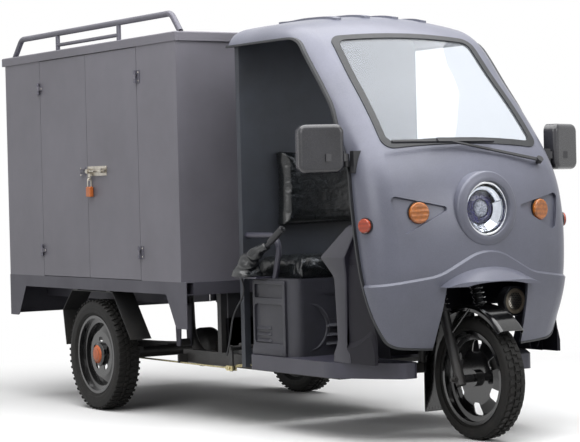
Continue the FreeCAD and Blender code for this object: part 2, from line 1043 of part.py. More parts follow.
# One arc of a biarc: it leaves start towards knee and ends as far beyond the knee
def biarc_half(start, knee, end):
    chord_mid = (start + end) / 2
    half = end.sub(start).Length / 2
    turn = math.acos(min(1, half / knee.sub(start).Length))
    bulge = half * math.tan(turn / 2)
    middle = chord_mid.add(knee.sub(chord_mid).normalize() * bulge)
    return Part.Arc(start, middle, end).toShape()


# Coil spring about a line along Z: an unbroken wire with flat-lying end turns
def coil(x, y, low, high):
    climb = high - low
    steps = spring_turns * spring_turn_steps

    def point(i):
        a = i * math.pi / 2
        return at(x + spring_radius * math.cos(a), y + spring_radius * math.sin(a),
                  low + climb * i / steps)

    def heading(i):
        a = i * math.pi / 2
        rise = climb / steps / (math.pi / 2)
        return at(-spring_radius * math.sin(a), spring_radius * math.cos(a), rise).normalize()
    edges = []
    for i in range(steps):
        p0 = point(i)
        p1 = point(i + 1)
        t0 = heading(i)
        t1 = heading(i + 1)
        v = p1.sub(p0)
        t = t0.add(t1)
        bend = 2 * (1 - t0.dot(t1))
        reach = (-v.dot(t) + math.sqrt(v.dot(t) ** 2 + bend * v.dot(v))) / bend
        k0 = p0.add(t0 * reach)
        k1 = p1.sub(t1 * reach)
        meet = (k0 + k1) / 2
        edges.append(biarc_half(p0, k0, meet))
        edges.append(biarc_half(meet, k1, p1))
    path = Part.Wire(edges)
    ring = Part.Wire(Part.makeCircle(spring_wire, point(0), heading(0)))
    print("spring gap between turns", round(climb / spring_turns - 2 * spring_wire, 2))
    return path.makePipeShell([ring], True, False)


def fork_upper():
    crown_half = fork_half + crown_reach
    corners = ((-crown_half, -crown_reach), (crown_half, -crown_reach), (crown_half, crown_reach),
               (crown_reach, fork_offset + crown_reach), (-crown_reach, fork_offset + crown_reach),
               (-crown_half, crown_reach))
    rounds = (crown_reach / 2, crown_reach / 2, crown_reach / 2, crown_reach / 2, crown_reach / 2,
              crown_reach / 2)
    crown = plan_prism(corners, rounds, crown_low, crown_low + crown_height)
    stem = rod(at(0, fork_offset, crown_low), at(0, fork_offset, stem_top), stem_radius)
    low = slider_bore_low + fork_travel + moving_gap
    legs = [rod(at(s * fork_half, 0, low), at(s * fork_half, 0, crown_low + crown_height),
                stanchion_radius)
            for s in (-1, 1)]
    clamp = rod(at(-stem_radius * 2, fork_offset, bar_height),
                at(stem_radius * 2, fork_offset, bar_height),
                bar_radius * 2)
    clamp = clamp.cut(rod(at(-bar_half, fork_offset, bar_height), at(bar_half, fork_offset, bar_height),
                          bar_radius))
    whole = joined([crown, stem] + legs)
    whole = whole.cut(rod(at(-bar_half, fork_offset, bar_height), at(bar_half, fork_offset, bar_height),
                          bar_radius))
    return raked(joined([whole, clamp]))


def fork_sliders():
    pieces = []
    for s in (-1, 1):
        x = s * fork_half
        leg = rod(at(x, 0, slider_low), at(x, 0, slider_top), slider_radius)
        collar = rod(at(x, 0, slider_top - collar_height), at(x, 0, slider_top), collar_radius)
        leg = joined([leg, collar])
        leg = leg.cut(rod(at(x, 0, slider_bore_low), at(x, 0, slider_top + overrun),
                          stanchion_radius + running_gap))
        pieces.append(leg)
    reach = fork_half + slider_radius + axle_nut_width
    axle = rod(at(-reach - axle_nut_width, 0, 0), at(reach + axle_nut_width, 0, 0), front_axle_radius)
    spacers = [rod(at(s * (hub_length / 2 + moving_gap / 4), 0, 0), at(s * fork_half, 0, 0),
                   front_axle_radius * 2)
               for s in (-1, 1)]
    nuts = []
    for s in (-1, 1):
        ring = Part.makePolygon([at(s * (fork_half + slider_radius - moving_gap),
                                    axle_nut_radius * math.cos(2 * k * math.pi / nut_sides),
                                    axle_nut_radius * math.sin(2 * k * math.pi / nut_sides)) for k in range(nut_sides + 1)])
        nuts.append(prism(ring, at(s * axle_nut_width, 0, 0)))
    return raked(joined(pieces + [axle] + spacers + nuts))


def fork_springs():
    low = slider_top + spring_wire + spring_gap
    high = crown_low - spring_wire - spring_gap
    return [raked(coil(s * fork_half, 0, low, high)) for s in (-1, 1)]


def handlebar_points():
    y = fork_offset
    return [at(-bar_half, y + bar_sweep, bar_height + bar_rise / 2),
            at(-bar_bend_x, y + bar_sweep / 3, bar_height + bar_rise),
            at(-bar_mid, y, bar_height), at(bar_mid, y, bar_height),
            at(bar_bend_x, y + bar_sweep / 3, bar_height + bar_rise), at(bar_half, y + bar_sweep,
                    bar_height + bar_rise / 2)]


def handlebar():
    return raked(pipe(handlebar_points(), bar_bend, bar_radius))


# Sleeve grip on the outer end of the bar; side -1 is the right hand
def grip(side, gap):
    points = handlebar_points()
    end, before = (points[0], points[1]) if side < 0 else (points[-1], points[-2])
    run = before.sub(end).normalize()
    start = end.sub(run * grip_end_gap)
    sleeve = rod(start, start.add(run * grip_length), grip_radius)
    flange = rod(start.add(run * (grip_length - grip_end_gap * 2)), start.add(run * grip_length),
                 grip_radius * grip_flange_share)
    sleeve = joined([sleeve, flange])
    return raked(sleeve.cut(rod(end, end.add(run * grip_length * 2), bar_radius + gap)))


def instrument_panel():
    half = dash_width / 2
    low = bar_height + 2 * bar_radius + seat_gap
    corners = ((-half, low), (half, low), (half * dash_top_share, low + dash_height),
               (-half * dash_top_share, low + dash_height))
    pod = front_prism(corners, [dash_round / 2, dash_round / 2, dash_round, dash_round],
                      fork_offset - dash_depth / 2, fork_offset + dash_depth / 2)
    pod = pod.makeFillet(dash_round / 2, [e for e in pod.Edges if abs(e.BoundBox.YLength) < touch])
    return raked(pod)


# Arched fender: a channel turned part of a turn about the axle, with side stays to the sliders
def front_fender():
    y = front_axle_y
    z = front_tyre_radius
    r = fender_radius
    i = fender_half - fender_sheet
    corners = ((-fender_half, r - fender_side), (-fender_half, r), (fender_half, r),
               (fender_half, r - fender_side),
               (i, r - fender_side), (i, r - fender_sheet), (-i, r - fender_sheet), (-i, r - fender_side))
    rounds = (0, fender_round, fender_round, 0, 0, fender_round - fender_sheet,
              fender_round - fender_sheet, 0)
    wire = outline(corners, rounds, lambda x, v: at(x, y, z + v))
    arch = Part.Face(wire).revolve(at(0, y, z), at(1, 0, 0), fender_front_angle + fender_rear_angle)
    arch.rotate(at(0, y, z), at(1, 0, 0), -fender_rear_angle)
    rear = math.radians(fender_rear_angle)
    top = at(0, y + (r - fender_sheet) * math.sin(rear), z + r * math.cos(rear))
    half = flap_width / 2
    root = top.z + overrun
    flap = block(-half, half, top.y + fender_sheet, top.y + fender_sheet + flap_sheet, flap_low_z, root)
    pitch = flap_width / flap_teeth
    for k in range(flap_teeth):
        mid = -half + k * pitch + pitch / 2
        notch = front_prism(((mid - pitch / 4, flap_low_z - overrun),
                             (mid + pitch / 4, flap_low_z - overrun),
                             (mid, flap_low_z + flap_tooth)), (0, 0, 0), top.y, top.y + overrun)
        flap = flap.cut(notch)
    stays = []
    for s in (-1, 1):
        foot = raked_point(s * fork_half, 0, slider_top * stay_share)
        head = at(s * (fender_half - fender_sheet / 2),
                  y + (r - fender_side / 2) * math.sin(math.radians(stay_angle)),
                  z + (r - fender_side / 2) * math.cos(math.radians(stay_angle)))
        stays.append(rod(foot, head, stay_radius))
    body = joined([arch] + stays)
    body = body.cut([raked(rod(at(s * fork_half, 0, 0), at(s * fork_half, 0, slider_top),
                               slider_radius)) for s in (-1, 1)])
    return [max(body.Solids, key=lambda solid: solid.Volume), flap.cut(arch)]


def horn():
    start = at(horn_x, horn_y, horn_z)
    cup = rod(start, start.add(at(0, horn_depth, 0)), horn_radius)
    cup = cup.cut(rod(start, start.add(at(0, horn_face, 0)), horn_radius - horn_face))
    wall = tunnel_half - shield_wall - seat_gap
    arm = block(wall - horn_face, wall, horn_y + horn_depth, horn_back_y, horn_z - horn_face,
                horn_z + horn_face)
    return joined([cup, arm])


def visor():
    def hood(inset):
        def section(y, top, low, half):
            start = at(-half, y, low)
            return Part.Wire([Part.Arc(start, at(0, y, top), at(half, y, low)).toShape(),
                              Part.LineSegment(at(half, y, low), start).toShape()])
        half = visor_half - inset
        low = visor_low_z - (overrun if inset else 0)
        wires = [section(visor_root_y, visor_root_z - inset, low, half),
                 section((visor_root_y + visor_lip_y) / 2,
                         (visor_root_z + visor_lip_z) / 2 + visor_bow / 2 - inset, low, half),
                 section(visor_lip_y, visor_lip_z - inset, low, half)]
        return Part.makeLoft(wires, True, False)
    outer = hood(0)
    inner = hood(visor_wall)
    hood_shell = outer.cut(inner)
    radius = (visor_half ** 2 + visor_bow ** 2) / (2 * visor_bow)
    lip = Part.makeCylinder(radius, cab_rise, at(0, visor_lip_y + radius, 0))
    return hood_shell.common(lip).cut(inside(belt_depth + seat_gap))


# Reflector cup with its chrome bezel, and the domed glass
def headlight():
    front = cab_front_y - bulge_proud + lamp_set_back
    r = headlight_radius
    lip = r - bezel_width
    back = front + headlight_depth
    cup = headlight_ring((((r, front), (r, front + bezel_width * 2), (r * cup_share, back), (0, back),
                           (0, back - cab_wall), (r * cup_share - cab_wall, back - cab_wall),
                           (lip - cab_wall, front + bezel_width * 2), (lip, front)),
                          (cab_wall, 0, bezel_width, 0, 0, bezel_width, 0, cab_wall / 2)))
    glass_y = front + bezel_width
    glass_r = lip - cab_wall - seat_gap
    radius = (glass_r ** 2 + bezel_width ** 2) / (2 * bezel_width)
    dome = Part.makeSphere(radius, at(0, glass_y - bezel_width + radius, lamp_z))
    hollow = Part.makeSphere(radius, at(0, glass_y - bezel_width + radius + lens_wall, lamp_z))
    lens = dome.cut(hollow).common(rod(at(0, front - overrun, lamp_z),
                                       at(0, glass_y + lens_wall / 2, lamp_z), glass_r))
    return cup, lens


# Round lamp on the skin: a black base and an amber dome, along a direction
def round_lamp(seat, facing, radius, proud):
    base = rod(seat, seat.add(facing * (proud / 2)), radius)
    start = seat.add(facing * (proud / 2))
    lens = rod(start, start.add(facing * proud), radius - lamp_rim)
    tip = [e for e in lens.Edges if e.CenterOfMass.sub(seat).dot(facing) > proud * lamp_tip_share]
    return base, lens.makeFillet(proud / 2, tip)


def lamps():
    cup, glass = headlight()
    ribs = all_ribs()

    def face_depth(x, z):
        near = min(ribs, key=lambda rib: abs(rib[-1](0, 0).z - z))
        bow = near[2]
        return near[-1](0, 0).y + bow - math.sqrt(bow ** 2 - x ** 2)
    bases = []
    lenses = []
    run = face_depth(signal_x + signal_radius, signal_z) - face_depth(signal_x - signal_radius, signal_z)
    facing = at(run / (2 * signal_radius), -1, 0).normalize()
    seat = at(signal_x, face_depth(signal_x, signal_z) + pocket_depth, signal_z)
    floor = inside(seat_gap - pocket_depth)
    base, lens = round_lamp(seat, facing, signal_radius, signal_proud)
    base = joined([base, rod(seat.sub(facing * overrun), seat, signal_radius)]).cut(floor)
    bases.extend(both(base.common(signal_pocket(-seat_gap))))
    lenses.extend(both(lens.cut(floor)))
    facing = at(1, -marker_lean, 0).normalize()
    base, lens = round_lamp(at(marker_x, marker_y, marker_z), facing, marker_radius, marker_proud)
    root = rod(at(marker_x, marker_y, marker_z).sub(facing * overrun), at(marker_x, marker_y, marker_z),
               marker_radius)
    bases.extend(both(joined([base, root]).cut(inside(seat_gap))))
    lenses.extend(both(lens))
    return [cup] + bases, [glass], lenses


# Chassis
def chassis_rails():
    pieces = []
    low = rail_top_z - rail_height
    for s in (-1, 1):
        x = s * rail_x
        rail = box_tube_y(x - rail_width / 2, x + rail_width / 2, rail_front_y, rail_rear_y, low,
                          rail_top_z)
        mid_z = rail_top_z - rail_height / 2
        inner_x = s * kick_x
        kick = pipe([at(inner_x, kick_start_y, mid_z), at(inner_x, kick_top_y - kick_radius, mid_z),
                     at(inner_x, kick_top_y, box_low_z)], kick_bend, kick_radius)
        kick = kick.cut(block(-box_half, box_half, kick_start_y, kick_top_y + overrun,
                              box_low_z - frame_rail_height, box_low_z + overrun))
        upright = box_tube_z(x - upright_width / 2, x + upright_width / 2, upright_y,
                             upright_y + upright_width,
                             rail_top_z, box_low_z - frame_rail_height)
        pieces.extend([rail, kick, upright])
    inner = rail_x - rail_width / 2
    for y in tie_ys:
        pieces.append(box_tube_x(-inner, inner, y, y + tie_width, low, low + tie_width))
    head = raked(rod(at(0, fork_offset, head_low), at(0, fork_offset, head_top), head_radius))
    foot = tie_ys[0] + tie_width / 2
    start = raked_point(0, fork_offset, (head_low + head_top) / 2)
    knee = at(0, foot - downtube_radius, (start.z + rail_top_z) / 2 + overrun)
    tube = pipe([start, knee, at(0, foot, low + tie_width)], downtube_radius * 3, downtube_radius)
    head = joined([head, tube])
    head = head.cut(raked(rod(at(0, fork_offset, crown_low), at(0, fork_offset, stem_top),
                              stem_radius + running_gap)))
    lugs = []
    bore = rod(at(-rail_x - overrun, shaft_y, shaft_z), at(0, shaft_y, shaft_z),
               shaft_radius + running_gap)
    for x, foot_z in ((shaft_inner_x, low + tie_width), (-rail_x, rail_top_z)):
        y0 = shaft_y - lug_radius
        y1 = shaft_y + lug_radius
        top = shaft_z + lug_radius
        lug = side_prism(((y0, foot_z), (y1, foot_z), (y1, top), (y0, top)),
                         (0, 0, lug_radius / 2, lug_radius / 2),
                         x - lug_wall / 2, x + lug_wall / 2)
        lugs.append(lug.cut(bore))
    guide_y = rail_rear_y - rail_width
    guide_z = shaft_z - shaft_arm_length
    edge = rail_x + rail_width / 2
    guide = block(shaft_arm_x - rail_width / 4, -edge, guide_y, guide_y + lug_wall, low, low + rail_width)
    guide = guide.cut(rod(at(shaft_arm_x, guide_y - overrun, guide_z),
                          at(shaft_arm_x, guide_y + overrun, guide_z),
                          brake_rod_radius + running_gap))
    return [joined(pieces + [head, guide] + lugs)]


def cab_floor():
    def pan(inset, low):
        half = floor_half - inset
        nose = floor_nose_half - inset
        rear = floor_rear_y - inset
        front = floor_front_y + inset
        notch = floor_notch_half + inset
        notch_y = floor_notch_y + inset
        corners = ((-half, rear), (-half, floor_taper_y), (-nose, front), (-notch, front),
                   (-notch, notch_y),
                   (notch, notch_y), (notch, front), (nose, front), (half, floor_taper_y), (half, rear))
        r = floor_round - inset
        rounds = (r / 2, r * 3, r / 2, r / 3, r / 2, r / 2, r / 3, r / 2, r * 3, r / 2)
        return plan_prism(corners, rounds, low, floor_top_z - (floor_wall if inset else 0))
    shell = pan(0, floor_low_z).cut(pan(floor_wall, floor_low_z - overrun))
    pads = []
    for y in tie_ys[:2]:
        pads.extend(both(block(rail_x - rail_width / 2, rail_x + rail_width / 2, y, y + tie_width,
                               rail_top_z, floor_top_z)))
    rail = block(-rail_x - rail_width, rail_x + rail_width, rail_front_y - overrun,
                 floor_rear_y + overrun,
                 rail_top_z - rail_height - overrun, rail_top_z)
    return joined([shell.cut(rail)] + pads)


# Leg shield: a hollow moulding open towards the wheel, with a tunnel for wheel and fork
def leg_shield():
    def body(inset):
        low = floor_top_z - (overrun if inset else 0)
        half = shield_half - inset
        front = shield_front_y - (overrun if inset else 0)
        corners = ((front, low), (front, shield_top_z - inset), (shield_top_y, shield_top_z - inset),
                   (shield_back_y - inset, shield_back_z), (shield_low_y - inset, low))
        rounds = (0, 0, shield_round - inset, shield_round - inset, 0)
        wide = side_prism(corners, rounds, -half, half)
        lean = front_prism(((half, shield_back_z - shield_lean_drop), (half + overrun, shield_top_z + overrun),
                            (half - shield_lean, shield_top_z)), [0] * 3, front - overrun, tunnel_rear_y)
        wide = wide.cut(joined(both(lean)))
        tunnel_half_in = tunnel_half - inset
        rear = tunnel_rear_y - inset
        hump = side_prism(((front, low), (front, tunnel_top_z - inset),
                           (shield_back_y, tunnel_top_z - inset),
                           (rear, tunnel_top_z - shield_round - inset), (rear, low)),
                          (0, 0, shield_round, shield_round, 0), -tunnel_half_in, tunnel_half_in)
        return wide.fuse(hump)
    away = -cab_wall - pocket_depth - shield_wall
    back = inside(away)
    liner = inside(away - shield_wall)
    skin_end = min(rib_ends(sizes, away)[0].y for sizes in all_ribs())
    ahead = block(-cab_half_width, cab_half_width, cab_front_y - overrun, skin_end,
                  floor_low_z - overrun, shield_top_z + overrun)
    shell = body(0).cut(ahead.cut(back)).cut(body(shield_wall).cut(ahead.cut(liner)))
    column = raked(rod(at(0, fork_offset, head_low), at(0, fork_offset, bar_height), column_hole))
    return shell.cut(column)


def cab_posts():
    tall = box_tube_z(post_x - post_width, post_x, post_y, post_y + post_width, floor_low_z, cab_top_z)
    lower = block(-cab_half_width, cab_half_width, post_y - overrun, cab_rear_y, 0,
                  cab_top_z - 3 * overrun)
    room = inside(-cab_wall - seat_gap).fuse(lower)
    posts = both(tall.common(room))
    inner = post_x - post_width
    bar = box_tube_x(-inner, inner, post_y, post_y + post_width, rear_wall_low_z,
                     rear_wall_low_z + post_width)
    feet = both(block(rail_x - rail_width / 2, inner, post_y, post_y + post_width,
                      rail_top_z, rail_top_z + post_width))
    return posts + [bar] + feet


def cab_rear_wall():
    y0 = post_y - wall_sheet
    low = block(-post_x, post_x, y0, post_y, rear_wall_low_z, cab_top_z - 3 * overrun)
    high = block(-post_x, post_x, y0, post_y, cab_top_z - 4 * overrun,
                 cab_top_z).common(inside(-cab_wall - seat_gap))
    beads = []
    pitch = 2 * (post_x - post_width) / (rear_wall_bead_count + 1)
    half = rear_wall_bead_width / 2
    for k in range(rear_wall_bead_count):
        x = -post_x + post_width + (k + 1) * pitch
        corners = ((x - half, rear_wall_bead_low_z), (x + half, rear_wall_bead_low_z),
                   (x + half, rear_wall_bead_high_z), (x - half, rear_wall_bead_high_z))
        beads.append(front_prism(corners, [half / 2] * len(corners), post_y - wall_sheet / 2,
                                 post_y + rear_wall_bead))
    return joined([low, high] + beads)


def seat_base():
    def body(inset, low):
        half = seat_half - inset
        corners = ((-half, seat_rear_y - inset), (-half, seat_front_y + inset),
                   (half, seat_front_y + inset),
                   (half, seat_rear_y - inset))
        r = seat_round - inset
        return plan_prism(corners, (r / 4, r, r, r / 4), low, seat_top_z - (seat_wall if inset else 0))
    shell = body(0, floor_top_z).cut(body(seat_wall, floor_top_z - overrun))
    cuts = []
    for s in (-1, 1):
        face = s * seat_half
        for k in range(seat_vent_count):
            z = seat_vent_low_z + k * seat_vent_pitch
            y0 = seat_rear_y - seat_round - seat_vent_length
            cuts.append(block(face - seat_wall * 2, face + seat_wall * 2, y0, y0 + seat_vent_length, z,
                              z + seat_vent_height))
            x0 = s * seat_half / 2 - seat_vent_length / 2
            cuts.append(block(x0, x0 + seat_vent_length, seat_front_y - overrun,
                              seat_front_y + seat_wall * 2, z, z + seat_vent_height))
        panel = side_prism(((seat_front_y + seat_round, seat_panel_low_z),
                            (seat_rear_y - seat_round / 2, seat_panel_low_z),
                            (seat_rear_y - seat_round / 2, seat_panel_high_z), (seat_front_y + seat_round,
                                    seat_panel_high_z)),
                           [seat_round / 4] * 4, face - seat_panel_depth, face + seat_panel_depth)
        cuts.append(panel)
        x0 = s * (seat_half - seat_round * 2)
        x1 = s * seat_round
        front = front_prism(((x0, seat_panel_low_z), (x1, seat_panel_low_z), (x1, seat_panel_high_z),
                             (x0, seat_panel_high_z)),
                            [seat_round / 4] * 4, seat_front_y - seat_panel_depth,
                             seat_front_y + seat_panel_depth)
        cuts.append(front)
    return shell.cut(cuts)


# Pillow form: sections with drawn-in sides, swelling to the middle and crowned on top
def pillow(half_u, half_v, height, place):
    wires = []
    for level, size in zip(cushion_level_shares, cushion_size_shares):
        u = half_u - (1 - size) * half_v
        v = half_v * size
        h = height * level
        ring = []
        points = [(-u, -v), (u, -v), (u, v), (-u, v)]
        mids = [(0, -v + cushion_draw), (u - cushion_draw, 0), (0, v - cushion_draw),
                (-u + cushion_draw, 0)]
        for k in range(4):
            a = place(points[k][0], points[k][1], h)
            m = place(mids[k][0], mids[k][1], h)
            b = place(points[(k + 1) % 4][0], points[(k + 1) % 4][1], h)
            ring.append(Part.Arc(a, m, b).toShape())
        wires.append(Part.Wire(ring))
    return Part.makeLoft(wires, True, False)


def seat_cushion():
    mid = (cushion_front_y + cushion_rear_y) / 2
    half = (cushion_rear_y - cushion_front_y) / 2
    return pillow(cushion_half, half, cushion_height, lambda u, v,
                  h: at(u, mid + v, seat_top_z + seat_gap + h))


def seat_backrest():
    mid = (backrest_low_z + backrest_high_z) / 2
    half = (backrest_high_z - backrest_low_z) / 2
    face = post_y - wall_sheet - seat_gap
    return pillow(backrest_half, half, backrest_depth, lambda u, v, h: at(u, face - h, mid + v))


# Armrest loops and the sloping bracket that carries the parking lever
def armrest_rails():
    rails = []
    loop = pipe([at(arm_x, post_y - wall_sheet, arm_top_z), at(arm_x, arm_front_y, arm_top_z),
                 at(arm_x, arm_foot_y, seat_top_z)], arm_bend, arm_radius)
    seat = block(-seat_half, seat_half, seat_front_y, seat_rear_y, floor_top_z, seat_top_z)
    rails.extend(both(loop.cut(seat)))
    edge = -seat_half + lever_plate_width / 2
    slope = side_prism(((lever_pivot_y + lever_plate_length / 3, seat_top_z + seat_gap),
                        (lever_pivot_y - lever_plate_length * 2 / 3, seat_top_z + seat_gap),
                        (lever_pivot_y - lever_plate_length * 2 / 3, seat_top_z + lever_plate_wall * 2),
                        (lever_pivot_y + lever_plate_length / 3, seat_top_z + lever_plate_wall)),
                       (0, 0, 0, 0), lever_x - lever_plate_width / 2, edge)
    cheeks = []
    gap = lever_boss_half + seat_gap
    for s in (-1, 1):
        x0 = lever_x + s * gap
        x1 = x0 + s * lever_plate_wall
        cheek = side_prism(((lever_pivot_y - lever_boss_radius, seat_top_z + seat_gap),
                            (lever_pivot_y + lever_boss_radius, seat_top_z + seat_gap),
                            (lever_pivot_y + lever_boss_radius, lever_pivot_z + lever_boss_radius),
                            (lever_pivot_y - lever_boss_radius, lever_pivot_z + lever_boss_radius)),
                           (0, 0, lever_boss_radius * lug_round_share,
                            lever_boss_radius * lug_round_share),
                           min(x0, x1), max(x0, x1))
        cheeks.append(cheek)
    reach = gap + lever_plate_wall
    pin = rod(at(lever_x - reach, lever_pivot_y, lever_pivot_z),
              at(lever_x + reach, lever_pivot_y, lever_pivot_z), lever_pin_radius)
    bracket = joined([slope] + cheeks + [pin])
    return rails + [bracket]


def lever_point(along):
    a = math.radians(lever_angle)
    return at(lever_x, lever_pivot_y - along * math.cos(a), lever_pivot_z + along * math.sin(a))


def parking_lever():
    half = lever_boss_half
    boss = rod(at(lever_x - half, lever_pivot_y, lever_pivot_z),
               at(lever_x + half, lever_pivot_y, lever_pivot_z), lever_boss_radius)
    boss = boss.cut(rod(at(lever_x - lever_boss_radius, lever_pivot_y, lever_pivot_z),
                        at(lever_x + lever_boss_radius, lever_pivot_y,
                           lever_pivot_z), lever_pin_radius + running_gap))
    stem = rod(lever_point(lever_boss_radius - lever_pin_radius / 2),
               lever_point(lever_length - lever_grip_length), lever_radius)
    handle = rod(lever_point(lever_length - lever_grip_length), lever_point(lever_length),
                 lever_grip_radius)
    ends = [e for e in handle.Edges if e.Length > lever_grip_radius * 6]
    handle = handle.makeFillet(lever_grip_radius / 3, ends)
    button = rod(lever_point(lever_length - lever_button_radius),
                 lever_point(lever_length + lever_button_radius), lever_button_radius)
    return joined([boss, stem, handle, button])


# Pleated gaiter round the lever's stem
def lever_boot():
    a = math.radians(lever_angle)
    axis = at(0, -math.cos(a), math.sin(a))
    across = at(0, math.sin(a), math.cos(a))
    start = lever_point(boot_start)

    def place(r, v):
        return start.add(across * r).add(axis * v)
    outer = []
    inner = []
    rings = boot_pleat_count * 2
    for k in range(rings + 1):
        share = k / rings
        r = boot_low_radius + (boot_high_radius - boot_low_radius) * share
        r = r + (boot_pleat if k % 2 else 0)
        outer.append((r, share * boot_length))
        inner.append((r - boot_wall, share * boot_length))
    corners = outer + list(reversed(inner))
    wire = outline(corners, [0] * len(corners), place)
    boot = Part.Face(wire).revolve(start, axis, 360)
    above = block(lever_x - overrun * 3, lever_x + overrun * 3, lever_pivot_y - lever_length,
                  lever_pivot_y + overrun,
                  seat_top_z + lever_plate_wall * 2 + seat_gap, lever_pivot_z + lever_length)
    return boot.common(above)


# Foot brake: pedal on a floor hinge, cross shaft with its arm, and the pull rod to the axle
def pedal_pin_z():
    return floor_top_z + pedal_boss_radius + seat_gap


def brake_pedal():
    z = pedal_pin_z()
    half = pedal_width / 2
    boss = rod(at(pedal_x - half, pedal_pin_y, z), at(pedal_x + half, pedal_pin_y, z), pedal_boss_radius)
    plate = plan_prism(((pedal_x - half, pedal_pin_y - pedal_length),
                        (pedal_x + half, pedal_pin_y - pedal_length),
                        (pedal_x + half, pedal_pin_y), (pedal_x - half, pedal_pin_y)),
                       (pedal_wall * 2, pedal_wall * 2, 0,
                        0), z + pedal_pin_radius, z + pedal_boss_radius)
    treads = [block(pedal_x - half + pedal_wall, pedal_x + half - pedal_wall,
                    pedal_pin_y - pedal_length + k * pedal_wall * 3,
                    pedal_pin_y - pedal_length + k * pedal_wall * 3 + pedal_wall,
                    z + pedal_pin_radius, z + pedal_boss_radius + pedal_wall / 2) for k in range(1, pedal_tread_count + 1)]
    pedal = joined([boss, plate] + treads)
    pedal.rotate(at(pedal_x, pedal_pin_y, z), at(1, 0, 0), -pedal_angle)
    return pedal.cut(rod(at(pedal_x - pedal_width, pedal_pin_y, z),
                         at(pedal_x + pedal_width, pedal_pin_y, z),
                         pedal_pin_radius + running_gap))


def pedal_bracket():
    z = pedal_pin_z()
    half = pedal_width / 2
    ears = []
    for s in (-1, 1):
        x0 = pedal_x + s * (half + seat_gap)
        x1 = x0 + s * pedal_wall
        ears.append(block(min(x0, x1), max(x0, x1), pedal_pin_y - pedal_boss_radius,
                          pedal_pin_y + pedal_boss_radius,
                          floor_top_z, z + pedal_boss_radius))
    reach = half + seat_gap + pedal_wall
    pin = rod(at(pedal_x - reach, pedal_pin_y, z), at(pedal_x + reach, pedal_pin_y, z), pedal_pin_radius)
    return joined(ears + [pin])


def brake_shaft():
    shaft = rod(at(shaft_arm_x - shaft_arm_width, shaft_y, shaft_z),
                at(shaft_inner_x + lug_wall, shaft_y, shaft_z), shaft_radius)
    arm = side_prism(((shaft_y - shaft_arm_radius, shaft_z - shaft_arm_length - shaft_arm_radius),
                      (shaft_y + shaft_arm_radius, shaft_z - shaft_arm_length - shaft_arm_radius),
                      (shaft_y + shaft_arm_radius,
                       shaft_z + shaft_arm_radius), (shaft_y - shaft_arm_radius,
                                                     shaft_z + shaft_arm_radius)),
                     [shaft_arm_radius * lug_round_share] * 4, shaft_arm_x - shaft_arm_width / 2,
                      shaft_arm_x + shaft_arm_width / 2)
    return joined([shaft, arm])


def brake_rod():
    z = shaft_z - shaft_arm_length
    back = shaft_y + shaft_arm_radius + moving_gap * 2
    front = shaft_y - clevis_length / 2
    outer = block(shaft_arm_x - clevis_width / 2, shaft_arm_x + clevis_width / 2, front,
                  back + moving_gap,
                  z - clevis_height / 2, z + clevis_height / 2)
    slot = block(shaft_arm_x - shaft_arm_width / 2 - moving_gap / 4,
                 shaft_arm_x + shaft_arm_width / 2 + moving_gap / 4,
                 front - overrun, back, z - clevis_height, z + clevis_height)
    pull = rod(at(shaft_arm_x, back, z), at(shaft_arm_x, brake_rod_rear_y, z), brake_rod_radius)
    nut = rod(at(shaft_arm_x, back, z), at(shaft_arm_x, back + clevis_length / 2, z),
              brake_rod_radius * 2)
    return joined([outer.cut(slot), pull, nut])


# Sheathed cable from the parking lever bracket down behind the seat to the rail beside the cross shaft
def brake_cable():
    x = lever_x + cable_radius
    top = at(x, lever_pivot_y + lever_plate_length / 3 + cable_radius + seat_gap, seat_top_z)
    points = [at(x, top.y, top.z), at(x, post_y - cable_bend, seat_top_z - cable_bend),
              at(x, post_y + cable_bend, (seat_top_z + shaft_z) / 2),
              at(x, shaft_y - cable_bend / 2, shaft_z + cable_bend / 2), at(x, shaft_y,
                      shaft_z - cable_bend / 2)]
    return pipe(points, cable_bend, cable_radius)


# Cargo frame and box
def gusset(front):
    rail_low = box_low_z - frame_rail_height
    if front:
        y0, y1 = frame_front_y, frame_front_y + gusset_wide
        corners = ((y0, rail_low), (y1, rail_low), (y0 + gusset_narrow, gusset_low_z), (y0, gusset_low_z))
    else:
        y0, y1 = frame_rear_y, frame_rear_y - gusset_wide
        corners = ((y0, rail_low), (y1, rail_low), (y0 - gusset_narrow, gusset_low_z), (y0, gusset_low_z))
    plate = side_prism(corners, (0, 0, gusset_round, 0), box_half - gusset_wall, box_half)
    return plate


def cargo_frame():
    low = box_low_z - frame_rail_height
    inner = box_half - frame_rail_width
    rails = both(box_tube_y(inner, box_half, frame_front_y, frame_rear_y, low, box_low_z))
    crosses = [box_tube_x(-inner, inner, y0, y0 + frame_rail_width, low, box_low_z)
               for y0 in (frame_front_y, frame_rear_y - frame_rail_width)]
    crosses += [box_tube_x(-inner, inner, y, y + frame_rail_width, low, box_low_z) for y in cross_ys]
    longs = both(box_tube_y(rail_x - rail_width / 2, rail_x + rail_width / 2, long_front_y, long_rear_y,
                            low - long_height, low))
    plates = []
    for front in (True, False):
        plates.extend(both(gusset(front)))
    legs = both(block(box_half - frame_rail_width, box_half - gusset_wall, frame_rear_y - gusset_wall,
                      frame_rear_y, skirt_low_z, low))
    skirt = block(-skirt_half, skirt_half, frame_rear_y - gusset_wall - skirt_sheet,
                  frame_rear_y - gusset_wall, skirt_low_z, low)
    stiff = block(-skirt_half, skirt_half, frame_rear_y - gusset_wall - pan_depth,
                  frame_rear_y - gusset_wall - skirt_sheet,
                  skirt_low_z, skirt_low_z + skirt_sheet)
    ladder = joined(rails + crosses)
    tail = joined(legs + [skirt, stiff])
    return [ladder, tail] + longs + plates + spring_hangers()


